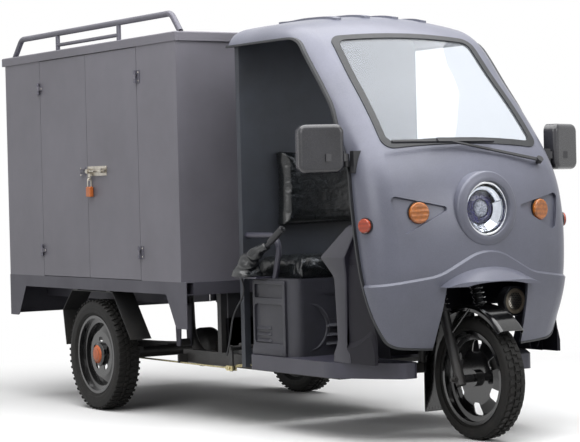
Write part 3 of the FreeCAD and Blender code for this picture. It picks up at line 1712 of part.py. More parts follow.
def sheet_pan_x(x0, x1, y0, y1, z0, z1, outer):
    body = block(x0, x1, y0, y1, z0, z1)
    if outer < 0:
        room = block(x0 + pan_sheet, x1 + overrun, y0 + pan_sheet, y1 - pan_sheet, z0 + pan_sheet,
                     z1 - pan_sheet)
    else:
        room = block(x0 - overrun, x1 - pan_sheet, y0 + pan_sheet, y1 - pan_sheet, z0 + pan_sheet,
                     z1 - pan_sheet)
    return body.cut(room)


def sheet_pan_y(x0, x1, y0, y1, z0, z1, outer):
    body = block(x0, x1, y0, y1, z0, z1)
    if outer < 0:
        room = block(x0 + pan_sheet, x1 - pan_sheet, y0 + pan_sheet, y1 + overrun, z0 + pan_sheet,
                     z1 - pan_sheet)
    else:
        room = block(x0 + pan_sheet, x1 - pan_sheet, y0 - overrun, y1 - pan_sheet, z0 + pan_sheet,
                     z1 - pan_sheet)
    return body.cut(room)


def box_walls():
    inner = box_half - pan_depth
    right = [sheet_pan_x(-box_half, -inner, box_front_y, door_front_y, box_low_z, box_top_z, -1),
             sheet_pan_x(-box_half, -inner, door_rear_y, box_rear_y, box_low_z, box_top_z, -1)]
    left = [sheet_pan_x(inner, box_half, box_front_y, box_rear_y, box_low_z, box_top_z, 1)]
    ends = [sheet_pan_y(-inner, inner, box_front_y, box_front_y + pan_depth, box_low_z, box_top_z, -1),
            sheet_pan_y(-inner, inner, box_rear_y - pan_depth, box_rear_y, box_low_z, box_top_z, 1)]
    return right, left, ends


def cargo_floor():
    inner = box_half - pan_depth
    plate = block(-inner, inner, box_front_y + pan_depth, box_rear_y - pan_depth, box_low_z,
                  box_low_z + floor_wall)
    return plate


def box_roof():
    corners = ((-roof_half, roof_front_y), (roof_half, roof_front_y), (roof_half, roof_rear_y),
               (-roof_half, roof_rear_y))
    tray = plan_prism(corners, [roof_round] * 4, box_top_z, roof_top_z)
    tray = tray.makeFillet(roof_round / 2, [e for e in tray.Edges if abs(e.CenterOfMass.z
            - roof_top_z) < touch])
    inner = pan_depth
    room = block(-roof_half + inner, roof_half - inner, roof_front_y + inner, roof_rear_y - inner * 3,
                 box_top_z - overrun, roof_top_z - pan_sheet * 2)
    return tray.cut(room)


def roof_rack():
    foot = roof_top_z
    rails = []
    for s in (-1, 1):
        x = s * rack_x
        top = pipe([at(x, rack_front_y, foot), at(x, rack_front_bend_y, rack_top_z),
                    at(x, rack_rear_bend_y, rack_top_z),
                    at(x, rack_rear_y, foot)], rack_bend, rack_radius)
        posts = [rod(at(x, y, foot), at(x, y, rack_top_z), rack_post_radius) for y in rack_post_ys]
        bar = rod(at(x, rack_post_ys[0], rack_bar_z), at(x, rack_post_ys[1], rack_bar_z), rack_bar_radius)
        rail = joined([top] + posts + [bar])
        rails.append(rail.cut(block(x - overrun, x + overrun, roof_front_y - overrun, roof_rear_y,
                                    foot - overrun, foot)))
    return rails


# Side doors: a leaf with its hinge knuckles; way is the sign of Y from the hinge to the free edge
def door_leaf(hinge_y, free_y, way):
    y0, y1 = sorted((hinge_y + way * door_gap, free_y - way * door_gap / 2))
    leaf = sheet_pan_x(-box_half, -box_half + door_depth, y0, y1, box_low_z + door_gap,
                       box_top_z - door_gap, -1)
    return leaf


def hinge_axis_x():
    return -box_half - hinge_knuckle_radius - hinge_wall - seat_gap


def hinge(hinge_y, way):
    x = hinge_axis_x()
    third = hinge_height / 3
    fixed = []
    moving = []
    for z in hinge_zs:
        def knuckle(z0, z1):
            barrel = rod(at(x, hinge_y, z0), at(x, hinge_y, z1), hinge_knuckle_radius)
            return barrel

        def strap(side, z0, z1):
            y0, y1 = sorted((hinge_y + side * hinge_wall / 2, hinge_y + side * hinge_leaf))
            return block(-box_half - hinge_wall, -box_half, y0, y1, z0, z1)

        def web(side, z0, z1):
            y0, y1 = sorted((hinge_y, hinge_y + side * hinge_knuckle_radius * 2))
            return block(x, -box_half, y0 + (door_gap if side > 0 else 0),
                         y1 - (door_gap if side < 0 else 0), z0, z1)
        pin = rod(at(x, hinge_y, z), at(x, hinge_y, z + hinge_height), hinge_pin_radius)
        low = joined([knuckle(z, z + third - seat_gap), web(-way, z, z + third - seat_gap)])
        high = joined([knuckle(z + 2 * third + seat_gap, z + hinge_height),
                       web(-way, z + 2 * third + seat_gap, z + hinge_height)])
        fixed.append(joined([low, high, pin, strap(-way, z, z + hinge_height)]))
        middle = joined([knuckle(z + third, z + 2 * third), web(way, z + third, z + 2 * third)])
        leaf = joined([middle, strap(way, z + third, z + 2 * third)])
        leaf = leaf.cut(rod(at(x, hinge_y, z - overrun), at(x, hinge_y, z + hinge_height + overrun),
                            hinge_pin_radius + running_gap))
        moving.append(leaf)
    return fixed, moving


def bolt_x():
    return -box_half - bolt_out


def bolt_lug(y, radius):
    x = bolt_x()
    half = bolt_lug_height / 2
    lug = front_prism(((-box_half, bolt_z - half), (-box_half, bolt_z + half), (x - half, bolt_z + half),
                       (x - half, bolt_z - half)),
                      (0, 0, half / 2, half / 2), y, y + bolt_lug_width)
    return lug.cut(rod(at(x, y - overrun, bolt_z), at(x, y + overrun, bolt_z), radius))


def bolt_body():
    half = bolt_plate_height / 2
    y1 = door_meet_y - door_gap * 2
    plate = side_prism(((bolt_start_y, bolt_z - half), (y1, bolt_z - half), (y1, bolt_z + half),
                        (bolt_start_y, bolt_z + half)), [door_gap] * 4, -box_half - hinge_wall, -box_half)
    lug_ys = (bolt_start_y + bolt_lug_width, y1 - bolt_lug_width * 2)
    lugs = [bolt_lug(y, bolt_radius + running_gap) for y in lug_ys]
    x = bolt_x()
    eye_z = padlock_eye_z()
    reach = padlock_eye_radius * 2
    thick = padlock_eye_radius / 3
    shelf_z = bolt_z - bolt_lug_height / 2
    hasp = block(x - thick, x + thick, padlock_y - reach, padlock_y + reach, eye_z - reach, shelf_z)
    hasp = hasp.cut(rod(at(x - overrun, padlock_y, eye_z), at(x + overrun, padlock_y, eye_z),
                        padlock_eye_radius))
    shelf = block(x - thick, -box_half, padlock_y - reach, padlock_y + reach, shelf_z - hinge_wall,
                  shelf_z)
    return joined([plate] + lugs + [hasp, shelf])


def bolt_rod():
    x = bolt_x()
    bar = rod(at(x, bolt_start_y, bolt_z), at(x, bolt_end_y, bolt_z), bolt_radius)
    mid = (bolt_start_y + bolt_end_y) / 2 - bolt_lug_width
    knob = rod(at(x, mid, bolt_z), at(x - bolt_knob_length, mid, bolt_z), bolt_radius)
    return joined([bar, knob])


def bolt_keeper():
    half = bolt_plate_height / 2
    y1 = keeper_y + keeper_length
    root = -box_half - hinge_wall
    plate = side_prism(((keeper_y, bolt_z - half), (y1, bolt_z - half), (y1, bolt_z + half),
                        (keeper_y, bolt_z + half)), [door_gap] * 4, root, -box_half)
    room = bolt_radius + door_gap / 3
    out = bolt_lug_height / 2
    y0 = keeper_y + door_gap
    face = bolt_x() - out
    upper = block(face, root, y0, y0 + bolt_lug_width, bolt_z + room, bolt_z + out)
    lower = block(face, root, y0, y0 + bolt_lug_width, bolt_z - out, bolt_z - room)
    bridge = block(face, bolt_x() - room, y0, y0 + bolt_lug_width, bolt_z - room, bolt_z + room)
    return [plate, upper, lower, bridge]


# Padlock hanging from the hasp: the shackle passes through the eye
def padlock_eye_z():
    return bolt_z - bolt_plate_height / 2 - padlock_eye_drop / 2


def padlock():
    x = bolt_x()
    r = padlock_shackle_radius
    top = padlock_eye_z() - padlock_eye_radius + r + seat_gap
    half = padlock_shackle_half
    low = top - padlock_drop
    shackle = pipe([at(x - half, padlock_y, low), at(x - half, padlock_y, top),
                    at(x + half, padlock_y, top),
                    at(x + half, padlock_y, low)], half - r / 8, r)
    w = padlock_width / 2
    d = padlock_depth / 2
    body = block(x - d, x + d, padlock_y - w, padlock_y + w, low - padlock_height * padlock_low_share,
                 low + r)
    body = body.makeFillet(padlock_round / 2, body.Edges)
    return [joined([shackle, body])]


# Rear running gear
def mudguards():
    s = guard_sheet
    line = ((guard_front_low_y, guard_front_low_z), (guard_front_y, guard_top_z),
            (guard_rear_y, guard_top_z),
            (guard_kink_y, guard_kink_z), (guard_rear_low_y, guard_rear_low_z))
    under = ((guard_rear_low_y - s, guard_rear_low_z), (guard_kink_y - s * guard_kink_share, guard_kink_z),
             (guard_rear_y, guard_top_z - s),
             (guard_front_y, guard_top_z - s), (guard_front_low_y + s, guard_front_low_z))
    corners = line + under
    sheet = side_prism(corners, [0] * len(corners), guard_inner_x, guard_outer_x)
    low = box_low_z - frame_rail_height
    tabs = [block(guard_outer_x - frame_rail_width / 2, guard_outer_x, y, y + frame_rail_width,
                  guard_top_z, low)
            for y in (guard_front_y + frame_rail_width / 2, guard_rear_y - frame_rail_width * 3 / 2)]
    return both(joined([sheet] + tabs))


def tail_lights():
    y0 = frame_rear_y - gusset_wall
    half = tail_length / 2
    corners = ((tail_x - half, tail_z - tail_height / 2), (tail_x + half, tail_z - tail_height / 2),
               (tail_x + half, tail_z + tail_height / 2), (tail_x - half, tail_z + tail_height / 2))
    lamp = front_prism(corners, [tail_round] * 4, y0, y0 + tail_depth)
    lamp = lamp.makeFillet(tail_round / 2, [e for e in lamp.Edges if abs(e.CenterOfMass.y - y0
            - tail_depth) < touch])
    return both(lamp)


def battery_pack():
    low = rail_top_z - rail_height + tie_width
    pieces = []
    tray = block(-rail_x + rail_width / 2, rail_x - rail_width / 2, battery_front_y - battery_gap,
                 battery_front_y + battery_length + battery_gap, low, low + battery_tray)
    pieces.append(tray)
    inner = battery_gap / 2
    for s in (-1, 1):
        x0, x1 = sorted((s * inner, s * (inner + battery_half)))
        case = block(x0, x1, battery_front_y, battery_front_y + battery_length, low + battery_tray,
                     low + battery_tray + battery_height)
        uprights = [e for e in case.Edges if abs(e.BoundBox.ZLength) > battery_height / 2]
        case = case.makeFillet(battery_round, uprights)
        lid = block(x0 + battery_round, x1 - battery_round, battery_front_y + battery_round,
                    battery_front_y + battery_length - battery_round,
                    low + battery_tray + battery_height,
                    low + battery_tray + battery_height + battery_round)
        pieces.append(joined([case, lid]))
    return pieces


def leaf_z():
    return rear_tyre_radius + axle_tube_radius + moving_gap


# Leaf pack: arcs of one centre, the longest on top with an eye at each end
def leaf_springs():
    packs = []
    half = leaf_length / 2
    radius = (half ** 2 + leaf_sag ** 2) / (2 * leaf_sag)
    base = leaf_z() + seat_gap
    for s in (-1, 1):
        leaves = []
        x0 = s * rail_x - leaf_width / 2
        for k in range(leaf_count):
            low_r = radius + (k + 1) * leaf_wall
            high_r = radius + k * leaf_wall
            centre = base + leaf_count * leaf_wall + radius
            reach = half * leaf_length_shares[k]

            def arc(r, sign):
                a = math.asin(reach / r)
                ends = [at(x0, rear_axle_y + t * r * math.sin(a),
                           centre - r * math.cos(a)) for t in (-sign, sign)]
                return Part.Arc(ends[0], at(x0, rear_axle_y, centre - r), ends[1]).toShape()
            outer = arc(low_r, 1)
            inner = arc(high_r, -1)
            edges = [outer, Part.LineSegment(outer.lastVertex().Point,
                                             inner.firstVertex().Point).toShape(), inner,
                     Part.LineSegment(inner.lastVertex().Point, outer.firstVertex().Point).toShape()]
            leaf = prism(Part.Wire(edges), at(leaf_width, 0, 0))
            if k == 0:
                eyes = [rod(at(x0, y, eye_z()), at(x0 + leaf_width, y, eye_z()),
                            eye_radius) for y in eye_ys()]
                leaf = joined([leaf] + eyes)
                for y in eye_ys():
                    leaf = leaf.cut(rod(at(x0 - overrun, y, eye_z()),
                                        at(x0 + leaf_width + overrun, y,
                                           eye_z()), eye_pin_radius + running_gap))
            leaves.append(leaf)
        packs.extend(leaves)
    return packs


def eye_ys():
    return rear_axle_y - leaf_length / 2, rear_axle_y + leaf_length / 2


def eye_z():
    return leaf_z() + seat_gap + leaf_count * leaf_wall + leaf_sag - leaf_wall / 2


# Brackets with cheeks and pins that hold the spring eyes under the frame
def spring_hangers():
    pieces = []
    top = box_low_z - frame_rail_height - long_height
    for s in (-1, 1):
        for y in eye_ys():
            cheeks = []
            for side in (-1, 1):
                x0 = s * rail_x + side * (leaf_width / 2 + seat_gap)
                x1 = x0 + side * hanger_wall
                half = hanger_length / 2
                corners = ((y - half, top), (y - eye_radius, eye_z() - eye_radius),
                           (y + eye_radius, eye_z() - eye_radius), (y + half, top))
                cheeks.append(side_prism(corners, (0, eye_radius / 2, eye_radius / 2, 0), min(x0, x1),
                                         max(x0, x1)))
            reach = leaf_width / 2 + seat_gap + hanger_wall
            pin = rod(at(s * rail_x - reach, y, eye_z()), at(s * rail_x + reach, y, eye_z()),
                      eye_pin_radius)
            cap = block(s * rail_x - reach, s * rail_x + reach, y - hanger_length / 2,
                        y + hanger_length / 2, top - hanger_wall, top)
            pieces.append(joined(cheeks + [pin, cap]))
    return pieces


def axle_housing():
    y = rear_axle_y
    z = rear_tyre_radius
    tube = rod(at(-axle_half, y, z), at(axle_half, y, z), axle_tube_radius)
    profile = ((-diff_half, 0), (-diff_half, diff_radius * diff_neck_share),
               (-diff_half / 2, diff_radius), (diff_half / 2, diff_radius),
               (diff_half, diff_radius * diff_neck_share), (diff_half, 0))
    case = turned(profile, (0, axle_tube_radius / 2, axle_tube_radius, axle_tube_radius,
                            axle_tube_radius / 2, 0), y, z)
    motor = rod(at(motor_x, y - motor_radius - axle_tube_radius, z),
                at(motor_x + motor_length, y - motor_radius - axle_tube_radius, z), motor_radius)
    neck = rod(at(diff_half / 2, y - motor_radius - axle_tube_radius, z),
               at(motor_x, y - motor_radius - axle_tube_radius, z), motor_radius * motor_neck_share)
    bridge = block(0, motor_x, y - motor_radius - axle_tube_radius, y, z - axle_tube_radius,
                   z + axle_tube_radius)
    solid = [tube, case, motor, neck, bridge]
    for s in (-1, 1):
        plate_x = s * axle_half
        solid.append(rod(at(plate_x - s * brake_plate_width, y, z), at(plate_x, y, z),
                         brake_plate_radius))
        stub_end = s * (rear_track / 2 + disc_dish)
        solid.append(rod(at(plate_x - s * overrun, y, z), at(stub_end, y, z), axle_stub_radius))
        half = clamp_length / 2
        width = leaf_width / 2 + clamp_rod_radius * 2
        solid.append(block(s * rail_x - width, s * rail_x + width, y - half, y + half, z, leaf_z()))
    body = joined(solid)
    clamps = []
    pack_top = leaf_z() + 2 * seat_gap + leaf_count * leaf_wall + leaf_wall / 2
    for s in (-1, 1):
        half = clamp_length / 2
        width = leaf_width / 2 + clamp_rod_radius * 2
        top = block(s * rail_x - width, s * rail_x + width, y - half, y + half, pack_top,
                    pack_top + clamp_wall)
        rods = []
        for sx in (-1, 1):
            for sy in (-1, 1):
                rx = s * rail_x + sx * (leaf_width / 2 + clamp_rod_radius + seat_gap)
                ry = y + sy * (half - clamp_rod_radius * 2)
                rods.append(rod(at(rx, ry, leaf_z() - clamp_wall / 2),
                                at(rx, ry, pack_top + clamp_wall * 2), clamp_rod_radius))
        clamps.extend([top] + rods)
    return joined([body] + clamps)


# Mirrors: a bracket plate and arm on the shell, and the folding head
def mirror_arm():
    plate = block(mirror_plate_x, mirror_plate_x + bracket_wall, bracket_y - bracket_width / 2,
                  bracket_y + bracket_width / 2,
                  bracket_z - bracket_height / 2, bracket_z + bracket_height / 2)
    plate = plate.fuse(block(mirror_plate_x - bracket_reach, mirror_plate_x + bracket_wall,
                             bracket_y - bracket_width / 2,
                             bracket_y + bracket_width / 2, bracket_z - bracket_height / 2,
                             bracket_z + bracket_height / 2))
    plate = plate.cut(inside(seat_gap))
    half = mirror_arm_height / 2
    arm = block(mirror_plate_x, mirror_pin_x, mirror_pin_y - mirror_arm_width / 2,
                mirror_pin_y + mirror_arm_width / 2,
                mirror_arm_z - half, mirror_arm_z + half)
    link = block(mirror_plate_x, mirror_plate_x + bracket_wall, bracket_y,
                 mirror_pin_y + mirror_arm_width / 2, mirror_arm_z - half, mirror_arm_z + half)
    knuckle = rod(at(mirror_pin_x, mirror_pin_y, mirror_arm_z - half),
                  at(mirror_pin_x, mirror_pin_y, mirror_arm_z + half), mirror_boss_radius)
    pin = rod(at(mirror_pin_x, mirror_pin_y, mirror_arm_z - half),
              at(mirror_pin_x, mirror_pin_y, mirror_arm_z + half + mirror_boss_height), mirror_pin_radius)
    trim = inside(belt_depth + trim_wall + seat_gap).common(doorway(trim_lap + seat_gap))
    whole = joined([plate, arm, link, knuckle, pin]).cut(trim)
    return max(whole.Solids, key=lambda solid: solid.Volume)


def mirror_head():
    half = mirror_width / 2
    low = mirror_z - mirror_height / 2
    corners = ((-half, low), (half, low), (half, low + mirror_height), (-half, low + mirror_height))
    d = mirror_depth
    shell = front_prism(corners, [mirror_round] * 4, -d / 2, d / 2)
    shell = shell.makeFillet(mirror_round * mirror_nose_share,
                             [e for e in shell.Edges if abs(e.CenterOfMass.y + d / 2) < touch])
    recess = front_prism([(a * mirror_glass_share, mirror_z + (b - mirror_z) * mirror_glass_share) for a,
                          b in corners], [mirror_round * mirror_glass_share] * 4,
                         d / 2 - bracket_wall, d / 2 + overrun)
    shell = shell.cut(recess)
    shell.rotate(at(0, 0, 0), at(0, 0, 1), mirror_turn)
    shell.translate(at(mirror_x, mirror_y, 0))
    half_arm = mirror_arm_height / 2
    z0 = mirror_arm_z + half_arm + seat_gap
    boss = rod(at(mirror_pin_x, mirror_pin_y, z0),
               at(mirror_pin_x, mirror_pin_y, z0 + mirror_boss_height), mirror_boss_radius)
    bridge = block(mirror_pin_x, mirror_x, mirror_pin_y - mirror_arm_width / 2,
                   mirror_pin_y + mirror_arm_width / 2, z0, z0 + mirror_boss_height)
    head = joined([shell, boss, bridge])
    return head.cut(rod(at(mirror_pin_x, mirror_pin_y, z0 - overrun),
                        at(mirror_pin_x, mirror_pin_y,
                           z0 + mirror_boss_height + seat_gap), mirror_pin_radius + running_gap))


# Wiper: made flat in the slope of the glass, on a pin that comes out of the shell under the seal
def wiper():
    def flat(corners, rounds, low, high):
        wire = outline(corners, rounds, lambda x, s: on_screen(x, s, low))
        return prism(wire, on_screen(0, 0, high).sub(on_screen(0, 0, low)))

    def arm_end(x, s, half, low):
        corners = ((s - half, low), (s + half, low), (s + half, low + wiper_arm_height),
                   (s - half, low + wiper_arm_height))
        return outline(corners, [0] * len(corners), lambda v, h: on_screen(x, v, h))
    mid = wiper_blade_mid_x
    half = wiper_arm_width / 2
    ends = [arm_end(wiper_x, wiper_s, half, wiper_low),
            arm_end(mid, wiper_blade_s, half / 2, wiper_out + wiper_blade_height)]
    arm = Part.makeLoft(ends, True, True)
    b = wiper_blade_length / 2
    w = wiper_blade_width / 2
    blade = flat(((mid - b, wiper_blade_s - w), (mid + b, wiper_blade_s - w),
                  (mid + b, wiper_blade_s + w),
                  (mid - b, wiper_blade_s + w)), [w / 2] * 4, wiper_out, wiper_out + wiper_blade_height)
    clip = b * wiper_clip_share
    bridge = flat(((mid - clip, wiper_blade_s - w * 2), (mid + clip, wiper_blade_s - w * 2),
                   (mid + clip, wiper_blade_s + w * 2), (mid - clip, wiper_blade_s + w * 2)), [w / 2] * 4,
                  wiper_out + wiper_blade_height / 2, wiper_out + wiper_blade_height + wiper_arm_height)
    boss_low = on_screen(wiper_x, wiper_s, wiper_low - wiper_arm_height)
    boss = rod(boss_low, on_screen(wiper_x, wiper_s, wiper_low + wiper_arm_height * 2), wiper_boss_radius)
    far = on_screen(wiper_x, wiper_s, wiper_low - overrun * 3)
    along = far.sub(boss_low).normalize()
    stubs = rod(far, boss_low, wiper_pin_radius).cut(inside(seat_gap)).Solids
    stub = min(stubs, key=lambda solid: solid.CenterOfMass.sub(boss_low).Length)
    foot = max(stub.Faces, key=lambda face: face.CenterOfMass.sub(boss_low).dot(along))
    rim = [point for edge in foot.Edges for point in edge.discretize(pin_rim_steps)]
    reach = min(point.sub(boss_low).dot(along) for point in rim)
    pin = rod(boss_low + along * reach, boss_low, wiper_pin_radius)
    return joined([arm, blade, bridge, boss, pin])


def main():
    shell, glass, seal, trim = cab_pieces()
    save("cab_shell", [shell])
    save("windshield", [glass])
    save("rubber_seals", [seal, trim])
    save("front_visor", [visor()])
    housings, headlight_glass, lenses = lamps()
    save("lamp_housings", housings)
    save("headlight_lens", headlight_glass)
    save("signal_lenses", lenses)
    save("chassis_rails", chassis_rails())
    save("cab_floor", [cab_floor(), pedal_bracket()])
    save("leg_shield", [leg_shield()])
    save("cab_posts", cab_posts())
    save("cab_rear_wall", [cab_rear_wall()])
    save("seat_base", [seat_base()])
    save("seat_cushion", [seat_cushion()])
    save("seat_backrest", [seat_backrest()])
    save("armrest_rails", armrest_rails())
    save("parking_lever", [parking_lever()])
    save("lever_boot", [lever_boot()])
    save("brake_pedal", [brake_pedal()])
    save("brake_shaft", [brake_shaft()])
    save("brake_rod", [brake_rod()])
    save("brake_cable", [brake_cable()])
    save("cargo_frame", cargo_frame())
    save("cargo_floor", [cargo_floor()])
    right, left, ends = box_walls()
    save("box_right_wall", right)
    save("box_left_wall", left)
    save("box_end_walls", ends)
    save("box_roof", [box_roof()])
    save("roof_rack", roof_rack())
    front_fixed, front_moving = hinge(door_front_y, 1)
    rear_fixed, rear_moving = hinge(door_rear_y, -1)
    save("door_hinges", front_fixed + rear_fixed)
    save("door_front", [door_leaf(door_front_y, door_meet_y, 1)] + front_moving)
    save("door_rear", [door_leaf(door_rear_y, door_meet_y, -1)] + bolt_keeper() + rear_moving)
    save("bolt_body", [bolt_body()])
    save("bolt_rod", [bolt_rod()])
    save("padlock", padlock())
    save("rear_mudguards", mudguards())
    save("tail_lights", tail_lights())
    save("battery_pack", battery_pack())
    save("leaf_springs", leaf_springs())
    save("axle_housing", [axle_housing()])
    for name, side in (("right", -1), ("left", 1)):
        save("rear_wheel_" + name, rear_wheel(side))
        save("rear_tyre_" + name, [tyre(side * rear_track / 2, rear_axle_y, rear_tyre_radius,
                                        rear_tyre_width, rear_rim_radius)])
    save("front_wheel", [front_wheel()])
    save("front_tyre", [tyre(0, front_axle_y, front_tyre_radius, front_tyre_width, front_rim_radius)])
    save("fork_upper", [fork_upper()])
    save("fork_sliders", [fork_sliders()])
    save("fork_springs", fork_springs())
    save("handlebar", [handlebar()])
    save("left_grip", [grip(1, seat_gap)])
    save("throttle_grip", [grip(-1, running_gap)])
    save("instrument_panel", [instrument_panel()])
    save("front_fender", front_fender())
    save("horn", [horn()])
    arm = mirror_arm()
    save("mirror_arms", both(arm))
    head = mirror_head()
    save("mirror_left", [head])
    save("mirror_right", [mirrored(head)])
    save("wiper", [wiper()])


if __name__ == "__main__":
    main()
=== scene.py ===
import bmesh
import bpy
import math
from mathutils import Matrix, Vector, noise


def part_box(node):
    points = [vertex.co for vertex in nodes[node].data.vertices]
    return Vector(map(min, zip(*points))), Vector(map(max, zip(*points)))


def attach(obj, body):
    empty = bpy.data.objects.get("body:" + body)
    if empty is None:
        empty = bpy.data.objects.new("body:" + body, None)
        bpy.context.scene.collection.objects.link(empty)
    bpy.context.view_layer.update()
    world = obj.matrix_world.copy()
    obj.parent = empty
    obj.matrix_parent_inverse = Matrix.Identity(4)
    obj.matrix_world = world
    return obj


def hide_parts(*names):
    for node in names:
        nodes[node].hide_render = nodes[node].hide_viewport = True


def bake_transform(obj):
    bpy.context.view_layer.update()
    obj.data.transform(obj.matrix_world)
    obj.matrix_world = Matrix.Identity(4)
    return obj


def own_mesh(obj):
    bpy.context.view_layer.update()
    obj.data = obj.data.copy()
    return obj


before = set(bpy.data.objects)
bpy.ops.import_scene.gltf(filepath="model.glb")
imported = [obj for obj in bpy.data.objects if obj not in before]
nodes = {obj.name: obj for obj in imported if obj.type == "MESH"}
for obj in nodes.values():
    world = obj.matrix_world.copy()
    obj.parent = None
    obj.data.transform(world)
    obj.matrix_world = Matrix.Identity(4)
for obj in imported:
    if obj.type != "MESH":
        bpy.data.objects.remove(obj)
scene = bpy.context.scene
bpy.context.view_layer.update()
sides = ((-1, "Right"), (1, "Left"))  # the right side lies towards -X
print("frame loaded,", len(nodes), "nodes")


# sRGB hex to linear colour
def linear(code):
    parts = [int(code[i:i + 2], 16) / 255 for i in (1, 3, 5)]
    return [c / 12.92 if c <= 0.04045 else ((c + 0.055) / 1.055) ** 2.4 for c in parts] + [1.0]


# inputs of a node: a node (its first output) or a socket as value is linked, anything else is set
def fill(node, inputs):
    for key, value in inputs.items():
        if isinstance(value, bpy.types.Node):
            value = value.outputs[0]
        if isinstance(value, bpy.types.NodeSocket):
            node.id_data.links.new(value, node.inputs[key])
        else:
            node.inputs[key].default_value = value


# one node with its settings and links
def add(tree, kind, inputs=None, **settings):
    node = tree.nodes.new(kind)
    for key, value in settings.items():
        setattr(node, key, value)
    fill(node, inputs or {})
    return node


def startMaterial(name):
    material = bpy.data.materials.new(name)
    material.use_nodes = True
    tree = material.node_tree
    tree.nodes.clear()
    shader = add(tree, "ShaderNodeBsdfPrincipled")
    add(tree, "ShaderNodeOutputMaterial", {"Surface": shader})
    return material, tree, shader, add(tree, "ShaderNodeTexCoord").outputs["Object"]


# camera at the photograph's place, 580 x 442 frame
photoView = {
    "place": (-5.0456, -7.8684, 1.0208), "lens": 124.46,
    "right": (0.83936, -0.54304, -0.02408), "up": (0.02796, -0.00111, 0.99961),
    "forward": (0.54285, 0.83971, -0.01425),
}
cameraData = bpy.data.cameras.new("photoCamera")
cameraData.sensor_fit = "HORIZONTAL"
cameraData.sensor_width = 36
cameraData.lens = photoView["lens"]
cameraData.clip_end = 100
camera = bpy.data.objects.new("photoCamera", cameraData)
scene.collection.objects.link(camera)
turn = Matrix((photoView["right"], photoView["up"], [-c for c in photoView["forward"]])).transposed()
camera.matrix_world = Matrix.Translation(photoView["place"]) @ turn.to_4x4()
scene.camera = camera
scene.view_settings.view_transform = "Standard"

# soft studio: a big top box, a wide front-left box and a weak right fill
studio = {
    "lamps": {
        "top": {"at": (-0.4, -1.0, 5.0), "to": (0, -0.2, 0), "size": (7.0, 7.0), "power": 520},
        "left": {"at": (-6.5, -3.6, 3.2), "to": (0, 0, 0.8), "size": (4.0, 3.0), "power": 92},
        "front": {"at": (2.6, -6.8, 2.8), "to": (0, -0.8, 0.8), "size": (3.0, 2.4), "power": 72},
    },
    "world": 0.16, "bounce": "#5e5e5e", "floorHalf": 60, "fade": (2.0, 3.6),
}
for lampName, lamp in studio["lamps"].items():
    lampData = bpy.data.lights.new(lampName + "Softbox", "AREA")
    lampData.shape = "RECTANGLE"
    lampData.size, lampData.size_y = lamp["size"]
    lampData.energy = lamp["power"]
    lampObject = bpy.data.objects.new(lampName + "Softbox", lampData)
    scene.collection.objects.link(lampObject)
    aim = (Vector(lamp["to"]) - Vector(lamp["at"])).to_track_quat("-Z", "Y")
    lampObject.matrix_world = Matrix.Translation(lamp["at"]) @ aim.to_matrix().to_4x4()
    lampObject.visible_camera = False


# 1 for the rays that show a thing itself: camera, mirror and glass rays
def shownRays(tree):
    rays = add(tree, "ShaderNodeLightPath").outputs
    seen = add(tree, "ShaderNodeMath", {0: rays["Is Camera Ray"], 1: rays["Is Glossy Ray"]},
               operation="MAXIMUM")
    return add(tree, "ShaderNodeMath", {0: seen, 1: rays["Is Transmission Ray"]}, operation="MAXIMUM")


world = bpy.data.worlds.new("whiteStudio")
scene.world = world
world.use_nodes = True
tree = world.node_tree
tree.nodes.clear()
seen = shownRays(tree)
dim = add(tree, "ShaderNodeBackground", {"Color": (1, 1, 1, 1), "Strength": studio["world"]})
white = add(tree, "ShaderNodeBackground", {"Color": (1, 1, 1, 1), "Strength": 1.0})
blend = add(tree, "ShaderNodeMixShader", {0: seen, 1: dim, 2: white})
add(tree, "ShaderNodeOutputWorld", {"Surface": blend})

# pale sweep under the wheels: matt, white to camera and mirrors, greyer for bounced light, shadow kept
floorMaterial, tree, shader, place = startMaterial("matt white studio sweep")
seen = shownRays(tree)
shade = add(tree, "ShaderNodeMix", {0: seen, 6: linear(studio["bounce"]), 7: linear("#ffffff")},
            data_type="RGBA")
fill(shader, {"Base Color": shade.outputs[2], "Roughness": 1.0, "Specular IOR Level": 0.0})
reach = add(tree, "ShaderNodeVectorMath", {0: place}, operation="LENGTH").outputs["Value"]
fade = add(tree, "ShaderNodeMapRange", {0: reach, 1: studio["fade"][0], 2: studio["fade"][1]},
           interpolation_type="SMOOTHSTEP")
fade = add(tree, "ShaderNodeMath", {0: fade, 1: seen}, operation="MULTIPLY")
glow = add(tree, "ShaderNodeEmission", {"Color": (1, 1, 1, 1), "Strength": 1.0})
sweep = add(tree, "ShaderNodeMixShader", {0: fade, 1: shader, 2: glow})
fill(tree.nodes["Material Output"], {"Surface": sweep})
floorMesh = bpy.data.meshes.new("studioFloor")
f = studio["floorHalf"]
floorMesh.from_pydata([(-f, -f, 0), (f, -f, 0), (f, f, 0), (-f, f, 0)], [], [(0, 1, 2, 3)])
floorMesh.materials.append(floorMaterial)
studioFloor = bpy.data.objects.new("studioFloor", floorMesh)
scene.collection.objects.link(studioFloor)
print("camera, lights and floor set")


# part of each noise's range that is used, and how far a flake lightens or darkens
finishLook = {"drift": (0.32, 0.68), "grain": (0.3, 0.7), "spark": (-0.015, 0.015)}


